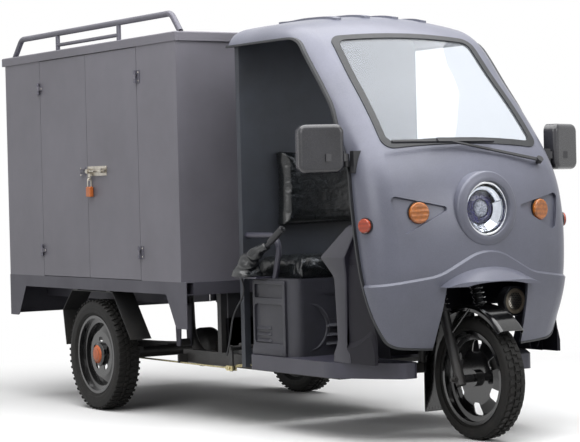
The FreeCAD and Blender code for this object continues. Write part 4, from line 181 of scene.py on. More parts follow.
# common build of a finish: slow colour drift, fine grain as bump and gloss change, dust that settles low
def makeFinish(finish):
    (driftLow, driftHigh), (grainLow, grainHigh), (sparkLow, sparkHigh) = finishLook.values()
    roughLow, roughHigh = finish["rough"]
    material, tree, shader, place = startMaterial(finish["name"])
    drift = add(tree, "ShaderNodeTexNoise",
                {"Vector": place, "Scale": 1000 / finish["driftMm"], "Detail": 4.0, "Roughness": 0.6})
    grain = add(tree, "ShaderNodeTexNoise",
                {"Vector": place, "Scale": 1000 / finish["grainMm"], "Detail": 2.0})
    tone = add(tree, "ShaderNodeMapRange", {0: drift, 1: driftLow, 2: driftHigh})
    colour = add(tree, "ShaderNodeMix", {0: tone, 6: linear(finish["low"]), 7: linear(finish["high"])},
                 data_type="RGBA").outputs[2]
    if "dust" in finish:
        height = add(tree, "ShaderNodeSeparateXYZ", {0: place}).outputs[2]
        settled = add(tree, "ShaderNodeMapRange", {0: height, 1: finish["dustTop"], 2: 0.0, 3: 0.0, 4: 1.0})
        patchy = add(tree, "ShaderNodeMath", {0: settled, 1: tone}, operation="MULTIPLY")
        amount = add(tree, "ShaderNodeMath", {0: patchy, 1: finish["dustShare"]}, operation="MULTIPLY")
        colour = add(tree, "ShaderNodeMix", {0: amount, 6: colour, 7: linear(finish["dust"])},
                     data_type="RGBA").outputs[2]
    if "flakeMm" in finish:
        flake = add(tree, "ShaderNodeTexVoronoi", {"Vector": place, "Scale": 1000 / finish["flakeMm"]})
        spark = add(tree, "ShaderNodeMapRange",
                    {0: flake.outputs["Color"], 1: 0.0, 2: 1.0, 3: sparkLow, 4: sparkHigh})
        colour = add(tree, "ShaderNodeMix", {0: 1.0, 6: colour, 7: spark}, data_type="RGBA",
                     blend_type="ADD").outputs[2]
    gloss = add(tree, "ShaderNodeMapRange", {0: grain, 1: grainLow, 2: grainHigh, 3: roughLow, 4: roughHigh})
    bump = add(tree, "ShaderNodeBump", {"Height": grain, "Distance": finish["depthMm"] / 1000,
                                        "Strength": finish["bump"]})
    fill(shader, {"Base Color": colour, "Roughness": gloss, "Normal": bump})
    fill(shader, finish.get("set", {}))
    return material


# painted ABS cab: silver-violet metallic base under clear coat, fine flakes drawn at 2 mm so that they show
cabPaint = makeFinish({
    "name": "painted ABS silver violet metallic", "low": "#666875", "high": "#747685", "driftMm": 420,
    "grainMm": 3.0, "depthMm": 0.05, "rough": (0.34, 0.44), "flakeMm": 2.0, "bump": 0.15,
    "set": {"Metallic": 0.12, "Coat Weight": 0.15, "Coat Roughness": 0.2}})
# powder coat on steel: satin, with slight orange peel
powderCoat = {"grainMm": 4.0, "depthMm": 0.12, "bump": 0.25}
# sheet steel of the box
boxPaint = makeFinish({
    **powderCoat, "name": "sheet steel grey powder coat", "low": "#74727a", "high": "#807e87", "driftMm": 500,
    "rough": (0.42, 0.55), "set": {"Metallic": 0.15}})
# roof rack and hinges: the same coat a shade darker
rackPaint = makeFinish({
    **powderCoat, "name": "round tube grey powder coat", "low": "#62616b", "high": "#74737d", "driftMm": 300,
    "rough": (0.4, 0.52), "set": {"Metallic": 0.3}})
# square tube of the cargo frame: the same coat darkened as painted shade, for the rails in the shadow of the box,
# and duller
shadedFramePaint = makeFinish({
    **powderCoat, "name": "square tube dark grey powder coat", "low": "#484750", "high": "#57565f",
    "driftMm": 300, "rough": (0.48, 0.6), "set": {"Metallic": 0.15}})
# cab back wall and posts: charcoal powder coat, matt
wallPaint = makeFinish({
    "name": "sheet steel charcoal powder coat", "low": "#33353b", "high": "#40444c", "driftMm": 350,
    "grainMm": 3.0, "depthMm": 0.1, "rough": (0.45, 0.6), "bump": 0.25})
# chassis: black painted tube, dusty at the bottom
chassisPaint = makeFinish({
    "name": "steel tube black enamel dusty", "low": "#1b1b1d", "high": "#29292c", "driftMm": 180,
    "grainMm": 5.0, "depthMm": 0.15, "rough": (0.38, 0.6), "bump": 0.3, "dust": "#6e675c", "dustTop": 0.55,
    "dustShare": 0.35})
# moulded ABS of seat box, shield and floor: a pebble grain of about 1.2 mm, drawn at 2 mm
mouldedAbs = {"driftMm": 260, "grainMm": 2.0, "depthMm": 0.1, "bump": 0.2}
seatPlastic = makeFinish({
    **mouldedAbs, "name": "moulded ABS charcoal grain", "low": "#303037", "high": "#3c3c44", "depthMm": 0.15,
    "rough": (0.4, 0.54), "bump": 0.3})
# edge of the leg shield: smoother, with a little gloss on its slopes
cheekPlastic = makeFinish({
    **mouldedAbs, "name": "moulded ABS slate gloss", "low": "#2b2a33", "high": "#373641", "depthMm": 0.05,
    "rough": (0.3, 0.4), "bump": 0.15,
    "set": {"Specular IOR Level": 0.3, "Coat Weight": 0.25, "Coat Roughness": 0.12}})
# leg shield itself: the slate plastic darkened as painted shade, for its faces turned from the light, and duller
shadedKickPlastic = makeFinish({
    **mouldedAbs, "name": "moulded ABS dark slate satin", "low": "#19181e", "high": "#222128",
    "rough": (0.46, 0.58), "set": {"Specular IOR Level": 0.15}})
# floor pan and armrests
shieldPlastic = makeFinish({
    **mouldedAbs, "name": "moulded ABS slate satin", "low": "#3a3945", "high": "#474653",
    "rough": (0.3, 0.42)})
# small black parts: polypropylene with a matt grain
blackPlastic = makeFinish({
    "name": "moulded polypropylene black", "low": "#1d1d20", "high": "#29292d", "driftMm": 120,
    "grainMm": 1.6, "depthMm": 0.12, "rough": (0.4, 0.58), "bump": 0.35})
# rear mudguards: the same, dusty
flapPlastic = makeFinish({
    "name": "moulded polypropylene black dusty", "low": "#171718", "high": "#232324", "driftMm": 90,
    "grainMm": 2.0, "depthMm": 0.15, "rough": (0.42, 0.62), "bump": 0.35, "dust": "#5d564c", "dustTop": 0.5,
    "dustShare": 0.5})
# mirror shells: injection moulded ABS, satin gloss
mirrorShell = makeFinish({
    "name": "moulded ABS black satin gloss", "low": "#2a2a2e", "high": "#37373c", "driftMm": 120,
    "grainMm": 2.0, "depthMm": 0.05, "rough": (0.2, 0.3), "bump": 0.2,
    "set": {"Coat Weight": 0.3, "Coat Roughness": 0.1}})
# wheels, front fender and fork coils: stoved gloss black enamel
glossBlack = makeFinish({
    "name": "stoved enamel gloss black", "low": "#0b0b0c", "high": "#141416", "driftMm": 90, "grainMm": 8.0,
    "depthMm": 0.06, "rough": (0.1, 0.2), "bump": 0.15, "dust": "#4a453e", "dustTop": 0.3, "dustShare": 0.12,
    "set": {"Coat Weight": 0.5, "Coat Roughness": 0.06}})
# grips, seals and pads: EPDM rubber
rubber = makeFinish({
    "name": "extruded EPDM rubber", "low": "#1f2023", "high": "#2d2f33", "driftMm": 60, "grainMm": 2.5,
    "depthMm": 0.1, "rough": (0.42, 0.6), "bump": 0.3})
# tyre rubber, dry and dusty in the tread
tyreRubber = makeFinish({
    "name": "vulcanised tyre rubber dusty", "low": "#0e0e0d", "high": "#181716", "driftMm": 40,
    "grainMm": 3.0, "depthMm": 0.25, "rough": (0.55, 0.75), "bump": 0.5, "dust": "#5a5147", "dustTop": 0.56,
    "dustShare": 0.04, "set": {"Specular IOR Level": 0.28}})
# zinc plated and yellow passivated rod ends
zinc = makeFinish({
    "name": "zinc plate yellow passivate", "low": "#b7aa7c", "high": "#d6cda8", "driftMm": 14, "grainMm": 1.2,
    "depthMm": 0.05, "rough": (0.25, 0.42), "bump": 0.3, "set": {"Metallic": 1.0}})
# bare rolled steel of bolt and screws
bareSteel = makeFinish({
    "name": "bare rolled steel", "low": "#a29d94", "high": "#c4beb3", "driftMm": 30, "grainMm": 1.5,
    "depthMm": 0.06, "rough": (0.26, 0.44), "bump": 0.3, "set": {"Metallic": 1.0}})
# chrome of bezel and reflector: polished plate with faint haze
chrome = makeFinish({
    "name": "polished chrome plate", "low": "#d6d8dc", "high": "#eceef0", "driftMm": 40, "grainMm": 6.0,
    "depthMm": 0.02, "rough": (0.03, 0.09), "bump": 0.1, "set": {"Metallic": 1.0}})
# battery cases: dark green polypropylene
batteryCase = makeFinish({
    "name": "moulded polypropylene bottle green", "low": "#0d2625", "high": "#143432", "driftMm": 110,
    "grainMm": 2.0, "depthMm": 0.1, "rough": (0.36, 0.5), "bump": 0.25})
# hub discs: orange ABS
orangePlastic = makeFinish({
    "name": "moulded ABS orange", "low": "#cf6333", "high": "#e57a48", "driftMm": 40, "grainMm": 2.0,
    "depthMm": 0.06, "rough": (0.34, 0.46), "bump": 0.2})
# horn ring: cream enamel, aged
hornCream = makeFinish({
    "name": "stoved enamel cream", "low": "#b9a890", "high": "#d9cdb8", "driftMm": 25, "grainMm": 3.0,
    "depthMm": 0.05, "rough": (0.3, 0.45), "bump": 0.2})
# violet reflector ring behind the lamp glass, lacquered
violetRing = makeFinish({
    "name": "lacquered reflector violet", "low": "#0f0c38", "high": "#1a164e", "driftMm": 30, "grainMm": 2.0,
    "depthMm": 0.04, "rough": (0.14, 0.24), "bump": 0.1, "set": {"Coat Weight": 0.5}})
# black vinyl cover: glossy sheet with a fine leather print and soft creases
vinyl = makeFinish({
    "name": "calendered PVC leathercloth black", "low": "#101214", "high": "#1d2022", "driftMm": 90,
    "grainMm": 1.6, "depthMm": 0.1, "rough": (0.2, 0.34), "bump": 0.35,
    "set": {"Coat Weight": 0.25, "Coat Roughness": 0.2}})


# 1 where a point lies further than a distance from the middle plane
def outboardOf(tree, place, distance):
    across = add(tree, "ShaderNodeSeparateXYZ", {0: place})
    across = add(tree, "ShaderNodeMath", {0: across}, operation="ABSOLUTE")
    return add(tree, "ShaderNodeMath", {0: across, 1: distance}, operation="GREATER_THAN")


# ribbed amber and red polycarbonate: moulded flutes every 3 mm under the face; the side markers are redder
lensLook = {"fluteMm": 3.0, "starMm": 14.0, "markerFrom": 0.45, "markerShade": "#d24a1c",
            "shades": {"amber": "#f08a24", "red": "#c8321c"}}
lensMaterials = {}
for lensName, lensShade in lensLook["shades"].items():
    material, tree, shader, place = startMaterial("moulded polycarbonate " + lensName)
    wave = add(tree, "ShaderNodeTexWave", {"Vector": place, "Scale": 1000 / lensLook["fluteMm"] / 20,
                                           "Distortion": 1.2, "Detail": 1.0}, bands_direction="Z")
    star = add(tree, "ShaderNodeTexVoronoi", {"Vector": place, "Scale": 1000 / lensLook["starMm"]})
    bump = add(tree, "ShaderNodeBump", {"Height": wave.outputs["Fac"], "Distance": 0.0012, "Strength": 0.7})
    deep = [c * 0.55 for c in linear(lensShade)[:3]] + [1.0]
    shade = add(tree, "ShaderNodeMix", {0: star.outputs["Distance"], 6: linear(lensShade), 7: deep},
                data_type="RGBA")
    if lensName == "amber":
        outer = outboardOf(tree, place, lensLook["markerFrom"])
        shade = add(tree, "ShaderNodeMix",
                    {0: outer, 6: shade.outputs[2], 7: linear(lensLook["markerShade"])}, data_type="RGBA")
    fill(shader, {"Base Color": shade.outputs[2], "Normal": bump, "Roughness": 0.12,
                  "Transmission Weight": 0.25, "Coat Weight": 0.4})
    lensMaterials[lensName] = material

# laminated windscreen: clear with a breath of grey and faint wipe haze
screenGlass, tree, shader, place = startMaterial("laminated glass clear")
haze = add(tree, "ShaderNodeTexNoise", {"Vector": place, "Scale": 1000 / 160, "Detail": 3.0})
smear = add(tree, "ShaderNodeMapRange", {0: haze, 1: 0.35, 2: 0.75, 3: 0.0, 4: 0.05})
fill(shader, {"Base Color": linear("#e3e8ef"), "Roughness": smear, "Transmission Weight": 0.87, "IOR": 1.02,
              "Coat Weight": 0.6, "Coat Roughness": 0.02})
# clear polycarbonate over the headlight, with mould ripple of about 12 mm
lampGlass, tree, shader, place = startMaterial("moulded polycarbonate clear")
ripple = add(tree, "ShaderNodeTexNoise", {"Vector": place, "Scale": 1000 / 12, "Detail": 1.0})
bump = add(tree, "ShaderNodeBump", {"Height": ripple, "Distance": 0.0006, "Strength": 0.2})
fill(shader, {"Base Color": linear("#f4f6fa"), "Normal": bump, "Roughness": 0.02,
              "Transmission Weight": 1.0, "IOR": 1.2})
# silvered mirror glass with the faint waviness of float glass
mirrorGlass, tree, shader, place = startMaterial("silvered float glass")
ripple = add(tree, "ShaderNodeTexNoise", {"Vector": place, "Scale": 1000 / 60, "Detail": 1.0})
bump = add(tree, "ShaderNodeBump", {"Height": ripple, "Distance": 0.0005, "Strength": 0.05})
fill(shader, {"Base Color": linear("#d5d9dc"), "Normal": bump, "Metallic": 1.0, "Roughness": 0.03})
# pale LED lens: frosted polycarbonate with small facets of 7 mm
ledLens, tree, shader, place = startMaterial("faceted polycarbonate frosted")
facet = add(tree, "ShaderNodeTexVoronoi", {"Vector": place, "Scale": 1000 / 7.0}).outputs["Distance"]
bump = add(tree, "ShaderNodeBump", {"Height": facet, "Distance": 0.002, "Strength": 0.8})
shade = add(tree, "ShaderNodeMix", {0: facet, 6: linear("#c3c6ce"), 7: linear("#43464f")}, data_type="RGBA")
fill(shader, {"Base Color": shade.outputs[2], "Normal": bump, "Roughness": 0.12, "Coat Weight": 0.6})

# lamp cups: chrome near the middle, black rubber bases further out than 0.15 m
lampCup, tree, shader, place = startMaterial("lamp cup chrome plate and black rubber")
outer = outboardOf(tree, place, 0.15)
grain = add(tree, "ShaderNodeTexNoise", {"Vector": place, "Scale": 1000 / 4, "Detail": 2.0})
shade = add(tree, "ShaderNodeMix", {0: outer, 6: linear("#e3e5e8"), 7: linear("#202124")}, data_type="RGBA")
metal = add(tree, "ShaderNodeMath", {0: 1.0, 1: outer}, operation="SUBTRACT")
gloss = add(tree, "ShaderNodeMapRange", {0: outer, 1: 0.0, 2: 1.0, 3: 0.06, 4: 0.5})
bump = add(tree, "ShaderNodeBump", {"Height": grain, "Distance": 0.0001, "Strength": 0.2})
fill(shader, {"Base Color": shade.outputs[2], "Metallic": metal, "Roughness": gloss,
              "Normal": bump})

# padlock: orange jacket up to 0.56 of its height, steel shackle above
lockMaterial, tree, shader, place = startMaterial("padlock orange ABS jacket and steel shackle")
lockLow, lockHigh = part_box("padlock")
height = add(tree, "ShaderNodeSeparateXYZ", {0: place}).outputs[2]
upper = add(tree, "ShaderNodeMath", {0: height, 1: lockLow.z + (lockHigh.z - lockLow.z) * 0.56},
            operation="GREATER_THAN")
grain = add(tree, "ShaderNodeTexNoise", {"Vector": place, "Scale": 1000 / 3, "Detail": 2.0})
tone = add(tree, "ShaderNodeMix", {0: grain, 6: linear("#c9662a"), 7: linear("#e08345")}, data_type="RGBA")
shade = add(tree, "ShaderNodeMix", {0: upper, 6: tone.outputs[2], 7: linear("#b9b3a8")}, data_type="RGBA")
fill(shader, {"Base Color": shade.outputs[2], "Metallic": upper, "Roughness": 0.36})

# chequer plate of the cargo floor: raised lozenges every 28 mm
chequer, tree, shader, place = startMaterial("chequer plate grey powder coat")
tilt = add(tree, "ShaderNodeMapping", {"Vector": place, "Rotation": (0, 0, math.radians(45))})
tile = add(tree, "ShaderNodeTexChecker", {"Vector": tilt, "Scale": 1000 / 28, "Color1": (1, 1, 1, 1),
                                          "Color2": (0, 0, 0, 1)})
wear = add(tree, "ShaderNodeTexNoise", {"Vector": place, "Scale": 1000 / 120, "Detail": 4.0})
shade = add(tree, "ShaderNodeMix", {0: wear, 6: linear("#56555c"), 7: linear("#7a7980")}, data_type="RGBA")
bump = add(tree, "ShaderNodeBump", {"Height": tile.outputs["Fac"], "Distance": 0.0015, "Strength": 0.8})
fill(shader, {"Base Color": shade.outputs[2], "Normal": bump, "Roughness": 0.48})
print("materials made")

# finish of each CAD node that stays in view
nodeFinish = {
    cabPaint: ["cab_shell", "front_visor"],
    screenGlass: ["windshield"],
    rubber: ["rubber_seals", "left_grip", "throttle_grip", "brake_pedal"],
    wallPaint: ["cab_rear_wall", "cab_posts"],
    shieldPlastic: ["cab_floor", "armrest_rails"],
    # leg shield: slate plastic with painted shade
    shadedKickPlastic: ["leg_shield"],
    seatPlastic: ["seat_base", "instrument_panel"],
    lampCup: ["lamp_housings"],
    lampGlass: ["headlight_lens"],
    lensMaterials["amber"]: ["signal_lenses"],
    lensMaterials["red"]: ["tail_lights"],
    # cargo frame: the coat with painted shade
    shadedFramePaint: ["cargo_frame"],
    rackPaint: ["roof_rack", "door_hinges"],
    chequer: ["cargo_floor"],
    boxPaint: ["box_right_wall", "box_left_wall", "box_end_walls", "box_roof", "door_front", "door_rear"],
    flapPlastic: ["rear_mudguards"],
    batteryCase: ["battery_pack"],
    blackPlastic: ["mirror_arms", "horn", "wiper", "parking_lever", "handlebar"],
    mirrorShell: ["mirror_right", "mirror_left"],
    chassisPaint: ["chassis_rails", "axle_housing", "fork_upper", "fork_sliders", "brake_shaft"],
    glossBlack: ["rear_wheel_right", "rear_wheel_left", "front_wheel", "front_fender"],
    bareSteel: ["bolt_body", "bolt_rod"],
    lockMaterial: ["padlock"],
    zinc: ["brake_rod"],
}
for material, names in nodeFinish.items():
    for name in names:
        nodes[name].data.materials.clear()
        nodes[name].data.materials.append(material)


# a new piece: mesh at the origin with one material; smooth None keeps the faces as they are
def newPiece(name, mesh, material, smooth=True):
    piece = benchObject(name, mesh)
    mesh.name = name
    mesh.materials.clear()
    mesh.materials.append(material)
    if smooth is not None:
        for face in mesh.polygons:
            face.use_smooth = smooth
    return piece


# a piece that rides on one body; edges sharper than the crisp angle stay sharp
def givePiece(name, mesh, material, body, smooth=True, crisp=None):
    piece = newPiece(name, mesh, material, smooth)
    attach(piece, body)
    if crisp:
        mesh.set_sharp_from_angle(angle=math.radians(crisp))
    return piece


def benchObject(name, data):
    holder = bpy.data.objects.new(name, data)
    scene.collection.objects.link(holder)
    return holder


# doubles merged and faces turned outwards
def meshOf(bm):
    mesh = bpy.data.meshes.new("piece")
    bmesh.ops.remove_doubles(bm, verts=bm.verts, dist=1e-6)
    bmesh.ops.recalc_face_normals(bm, faces=bm.faces)
    bm.to_mesh(mesh)
    bm.free()
    return mesh


def cleaned(mesh):
    bm = bmesh.new()
    bm.from_mesh(mesh)
    return meshOf(bm)


# plain mesh of an object's modifiers or curve
def bakedMesh(holder):
    graph = bpy.context.evaluated_depsgraph_get()
    graph.update()
    return bpy.data.meshes.new_from_object(holder.evaluated_get(graph), depsgraph=graph)


# rings of points joined into a skin, its ends closed with a fan
def skinned(rings):
    bm = bmesh.new()
    rows = [[bm.verts.new(p) for p in ring] for ring in rings]
    for a, b in zip(rows, rows[1:]):
        for i in range(len(a)):
            k = (i + 1) % len(a)
            bm.faces.new((a[i], a[k], b[k], b[i]))
    for row in (rows[0], rows[-1]):
        middle = bm.verts.new(sum((v.co for v in row), Vector()) / len(row))
        for i in range(len(row)):
            bm.faces.new((row[i], row[(i + 1) % len(row)], middle))
    return meshOf(bm)


# profile of (radius, along) turned about an axis through centre
def turned(profile, steps, centre, axis, loop=False):
    along = Vector(axis).normalized()
    side = along.orthogonal().normalized()
    up = along.cross(side)
    bm = bmesh.new()
    rows = []
    for k in range(steps):
        a = 2 * math.pi * k / steps
        out = side * math.cos(a) + up * math.sin(a)
        rows.append([bm.verts.new(Vector(centre) + out * r + along * h) for r, h in profile])
    count = len(profile)
    for k in range(steps):
        a, b = rows[k], rows[(k + 1) % steps]
        for i in range(count if loop else count - 1):
            j = (i + 1) % count
            if (a[i].co - b[i].co).length < 1e-7 and (a[j].co - b[j].co).length < 1e-7:
                continue  # both on the axis
            bm.faces.new((a[i], a[j], b[j], b[i]))
    return meshOf(bm)


# round tube: smooth along its route points, or straight from point to point
def tubeCurve(name, points, radius, roundness, resolution=8, smoothLine=True):
    curve = bpy.data.curves.new(name, "CURVE")
    curve.dimensions = "3D"
    line = curve.splines.new("NURBS" if smoothLine else "POLY")
    line.points.add(len(points) - 1)
    for spot, p in zip(line.points, points):
        spot.co = (*p, 1)
    if smoothLine:
        line.order_u = 3
        line.use_endpoint_u = True
        line.resolution_u = resolution
    curve.bevel_depth = radius
    curve.bevel_resolution = roundness
    curve.use_fill_caps = True
    return curve


def tubeMesh(points, radius, roundness=3, smoothLine=True):
    holder = benchObject("tube", tubeCurve("tube", points, radius, roundness, smoothLine=smoothLine))
    mesh = bakedMesh(holder)
    bpy.data.objects.remove(holder)
    return cleaned(mesh)


# parking brake cable first: it leaves the lever bracket, hangs behind the seat and ends at the cross shaft
brakeCable = {"route": [(-0.501, -0.439, 0.655), (-0.501, -0.480, 0.595), (-0.501, -0.360, 0.4975),
                        (-0.501, -0.330, 0.370), (-0.501, -0.300, 0.310)],
              "diameter": 0.008, "length": 0.378}
cableCurve = tubeCurve("brakeCable", brakeCable["route"], brakeCable["diameter"] / 2, roundness=4,
                       resolution=16)
cableCurve.materials.append(rubber)
cable = benchObject("brakeCable", cableCurve)
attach(cable, "frame")
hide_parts("brake_cable")
print("cable laid")


# empty node tree with named inputs
def startTree(name, inputs, output):
    tree = bpy.data.node_groups.new(name, "GeometryNodeTree")
    for socketName, kind in inputs:
        tree.interface.new_socket(socketName, in_out="INPUT", socket_type="NodeSocket" + kind)
    tree.interface.new_socket(output, in_out="OUTPUT", socket_type="NodeSocketGeometry")
    return tree, add(tree, "NodeGroupInput").outputs


# last nodes of a tree: instances made real, one material
def endTree(tree, geometry, material):
    real = add(tree, "GeometryNodeRealizeInstances", {0: geometry})
    coated = add(tree, "GeometryNodeSetMaterial", {"Geometry": real, "Material": material})
    add(tree, "NodeGroupOutput", {0: coated})


# node tree that rings a wheel with tread blocks and joins them to the carcass
def makeTreadTree():
    tree, start = startTree("treadRing", (
        ("Carcass", "Geometry"), ("Block", "Object"), ("Count", "Int"), ("Radius", "Float"),
        ("Row Offset", "Float"), ("Phase", "Float"), ("Centre", "Vector"), ("Rubber", "Material")), "Tyre")
    index = add(tree, "GeometryNodeInputIndex")
    stepAngle = add(tree, "ShaderNodeMath", {0: 2 * math.pi, 1: start["Count"]}, operation="DIVIDE")
    angle = add(tree, "ShaderNodeMath", {0: index, 1: stepAngle, 2: start["Phase"]}, operation="MULTIPLY_ADD")
    sine = add(tree, "ShaderNodeMath", {0: angle}, operation="SINE")
    cosine = add(tree, "ShaderNodeMath", {0: angle}, operation="COSINE")
    back = add(tree, "ShaderNodeMath", {0: start["Radius"], 1: -1.0}, operation="MULTIPLY")
    y = add(tree, "ShaderNodeMath", {0: sine, 1: back}, operation="MULTIPLY")
    z = add(tree, "ShaderNodeMath", {0: cosine, 1: start["Radius"]}, operation="MULTIPLY")
    spot = add(tree, "ShaderNodeCombineXYZ", {0: start["Row Offset"], 1: y, 2: z})
    spot = add(tree, "ShaderNodeVectorMath", {0: spot, 1: start["Centre"]}, operation="ADD")
    points = add(tree, "GeometryNodePoints", {"Count": start["Count"], "Position": spot})
    facing = add(tree, "FunctionNodeEulerToRotation", {0: add(tree, "ShaderNodeCombineXYZ", {0: angle})})
    block = add(tree, "GeometryNodeObjectInfo", {"Object": start["Block"]}).outputs["Geometry"]
    ring = add(tree, "GeometryNodeInstanceOnPoints",
               {"Points": points, "Instance": block, "Rotation": facing})
    whole = add(tree, "GeometryNodeJoinGeometry", {0: start["Carcass"]})
    fill(whole, {0: ring})
    endTree(tree, whole, start["Rubber"])
    return tree


# node tree that sets a small part on every point of a mesh, turned by its "turn" attribute
def makeFastenerTree():
    tree, start = startTree("setOnPoints", (
        ("Points", "Geometry"), ("Part", "Object"), ("Size", "Float"), ("Finish", "Material")), "Parts")
    turnBy = add(tree, "GeometryNodeInputNamedAttribute", {"Name": "turn"}, data_type="FLOAT_VECTOR")
    facing = add(tree, "FunctionNodeEulerToRotation", {0: turnBy})
    part = add(tree, "GeometryNodeObjectInfo", {"Object": start["Part"]}).outputs["Geometry"]
    size = add(tree, "ShaderNodeCombineXYZ", {0: start["Size"], 1: start["Size"], 2: start["Size"]})
    placed = add(tree, "GeometryNodeInstanceOnPoints",
                 {"Points": start["Points"], "Instance": part, "Rotation": facing, "Scale": size})
    endTree(tree, placed, start["Finish"])
    return tree


treadTree = makeTreadTree()
fastenerTree = makeFastenerTree()


def runTree(holder, tree, inputs):
    modifier = holder.modifiers.new(tree.name, "NODES")
    modifier.node_group = tree
    ids = {s.name: s.identifier for s in tree.interface.items_tree if s.in_out == "INPUT"}
    for socketName, value in inputs.items():
        modifier[ids[socketName]] = value


# spots: list of (point, facing direction); part is a small mesh that points along its own +Z
def setOnPoints(name, spots, partMesh, size, material, body, smooth=True):
    mesh = bpy.data.meshes.new(name)
    mesh.from_pydata([p for p, d in spots], [], [])
    turnBy = mesh.attributes.new("turn", "FLOAT_VECTOR", "POINT")
    for k, (p, d) in enumerate(spots):
        turnBy.data[k].vector = Vector(d).to_track_quat("Z", "Y").to_euler()
    holder = benchObject(name + "Points", mesh)
    part = benchObject(name + "Part", partMesh)
    runTree(holder, fastenerTree, {"Part": part, "Size": float(size), "Finish": material})
    result = bakedMesh(holder)
    bpy.data.objects.remove(holder)
    bpy.data.objects.remove(part)
    return givePiece(name, result, material, body, smooth)


tyres = {
    "front": {"node": "front_tyre", "body": "front_wheel", "radius": 0.251, "width": 0.098, "rim": 0.182,
              "centre": (0.0, -1.449, 0.251), "count": 46},
    "rearRight": {"node": "rear_tyre_right", "body": "rear_wheel_right", "radius": 0.265, "width": 0.116,
                  "rim": 0.178, "centre": (-0.570, 0.730, 0.265), "count": 54},
    "rearLeft": {"node": "rear_tyre_left", "body": "rear_wheel_left", "radius": 0.265, "width": 0.116,
                 "rim": 0.178, "centre": (0.570, 0.730, 0.265), "count": 54},
}
# half section as (height, share of half width): bead above the rim, wall as a share of its height, crown
# below the top
carcass = {"bead": ((0.001, 0.70), (0.012, 0.74), (0.016, 0.80), (0.018, 0.86), (0.0205, 0.86)),
           "wall": ((0.3, 0.955), (0.46, 0.995), (0.49, 0.985), (0.51, 0.995), (0.66, 0.975)),
           "crown": ((0.014, 0.93), (0.010, 0.86), (0.0075, 0.6), (0.0068, 0.25)),
           "seat": (0.001, 0.60), "steps": 128, "crisp": 35}
# tread block: half of its 7 mm height, where it starts to draw in, how far, and its gap to the outline
tread = {"half": 0.0035, "neck": 0.6, "draw": 0.88, "gap": 0.0003}
# block outlines in (across, round)
starCorners = [(-0.011, -0.012), (-0.003, -0.009), (0.011, -0.013), (0.008, 0.0), (0.011, 0.012),
               (0.0, 0.009), (-0.011, 0.013), (-0.008, 0.0)]
edgeCorners = [(-0.010, -0.011), (0.012, -0.012), (0.012, 0.004), (0.004, 0.012), (-0.010, 0.010)]
lugCorners = [(-0.017, -0.004), (0.0, -0.011), (0.019, -0.012), (0.019, -0.001), (0.002, 0.001),
              (-0.015, 0.009)]
ribCorners = [(-0.007, -0.013), (0.007, -0.009), (0.007, 0.013), (-0.007, 0.009)]


def mirrored(corners):
    return [(-u, v) for u, v in corners]


# rows of blocks: (outline, offset, phase, drop)
frontRows = [(starCorners, 0.0, 0.0, 0.0), (edgeCorners, 0.0255, 0.5, 0.0025),
             (mirrored(edgeCorners), -0.0255, 0.5, 0.0025)]
rearRows = [(ribCorners, -0.010, 0.0, 0.0), (ribCorners, 0.010, 0.5, 0.0), (lugCorners, 0.0365, 0.25, 0.0028),
            (mirrored(lugCorners), -0.0365, 0.75, 0.0028)]


# block raised from its outline and drawn in at the top
def treadBlock(name, corners):
    height, draw = tread["half"], tread["draw"]
    middle = (sum(u for u, v in corners) / len(corners), sum(v for u, v in corners) / len(corners))
    low = [Vector((u, v, -height)) for u, v in corners]
    neck = [Vector((u, v, height * tread["neck"])) for u, v in corners]
    top = [Vector((middle[0] + (u - middle[0]) * draw, middle[1] + (v - middle[1]) * draw, height))
           for u, v in corners]
    return benchObject(name, skinned([low, neck, top]))


for tyreName, tyre in tyres.items():
    half, rim, top = tyre["width"] / 2, tyre["rim"], tyre["radius"]
    height = top - rim
    profile = [(rim + r, half * share) for r, share in carcass["bead"]]
    profile += [(rim + r * height, half * share) for r, share in carcass["wall"]]
    profile += [(top - r, half * share) for r, share in carcass["crown"]]
    profile += [(r, -a) for r, a in reversed(profile)]
    seatRise, seatShare = carcass["seat"]
    profile += [(rim + seatRise, -half * seatShare), (rim + seatRise, half * seatShare)]
    holder = benchObject(tyreName + "Carcass",
                         turned(profile, carcass["steps"], tyre["centre"], (1, 0, 0), loop=True))
    blocks = []
    for k, (corners, offset, phase, drop) in enumerate(frontRows if tyreName == "front" else rearRows):
        blocks.append(treadBlock(tyreName + "Block" + str(k), corners))
        runTree(holder, treadTree, {"Block": blocks[-1], "Count": tyre["count"],
                                    "Radius": top - tread["half"] - tread["gap"] - drop, "Row Offset": offset,
                                    "Phase": phase * 2 * math.pi / tyre["count"], "Centre": tyre["centre"],
                                    "Rubber": tyreRubber})
    result = bakedMesh(holder)
    for used in [holder] + blocks:
        bpy.data.objects.remove(used)
    piece = givePiece(tyreName + "Tyre", result, tyreRubber, tyre["body"], crisp=carcass["crisp"])
    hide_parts(tyre["node"])
print("tyres made")


# blown-up cover: remesh, cloth under pressure, motion capped
padCloth = {"pressure": 4, "quality": 5, "mass": 0.4, "steps": 20}


def softPad(name, node, voxel, cap):
    pad = benchObject(name + "Blank", cleaned(nodes[node].data))
    remesh = pad.modifiers.new("even", "REMESH")
    remesh.mode = "VOXEL"
    remesh.voxel_size = voxel
    even = bakedMesh(pad)
    bpy.data.objects.remove(pad)
    rest = [v.co.copy() for v in even.vertices]
    pad = benchObject(name + "Blank", even)
    cloth = pad.modifiers.new("cloth", "CLOTH")
    cloth.settings.use_pressure = True
    cloth.settings.uniform_pressure_force = padCloth["pressure"]
    cloth.settings.quality = padCloth["quality"]
    cloth.settings.mass = padCloth["mass"]
    cloth.settings.effector_weights.gravity = 0
    for step in range(1, padCloth["steps"] + 1):
        scene.frame_set(step)
    blown = bakedMesh(pad)
    for v, w, r in zip(even.vertices, blown.vertices, rest):
        move = w.co - r
        if move.length > cap:
            move = move.normalized() * cap
        v.co = r + move
    pad.modifiers.clear()
    bpy.data.meshes.remove(blown)
    scene.frame_set(1)
    return pad, even


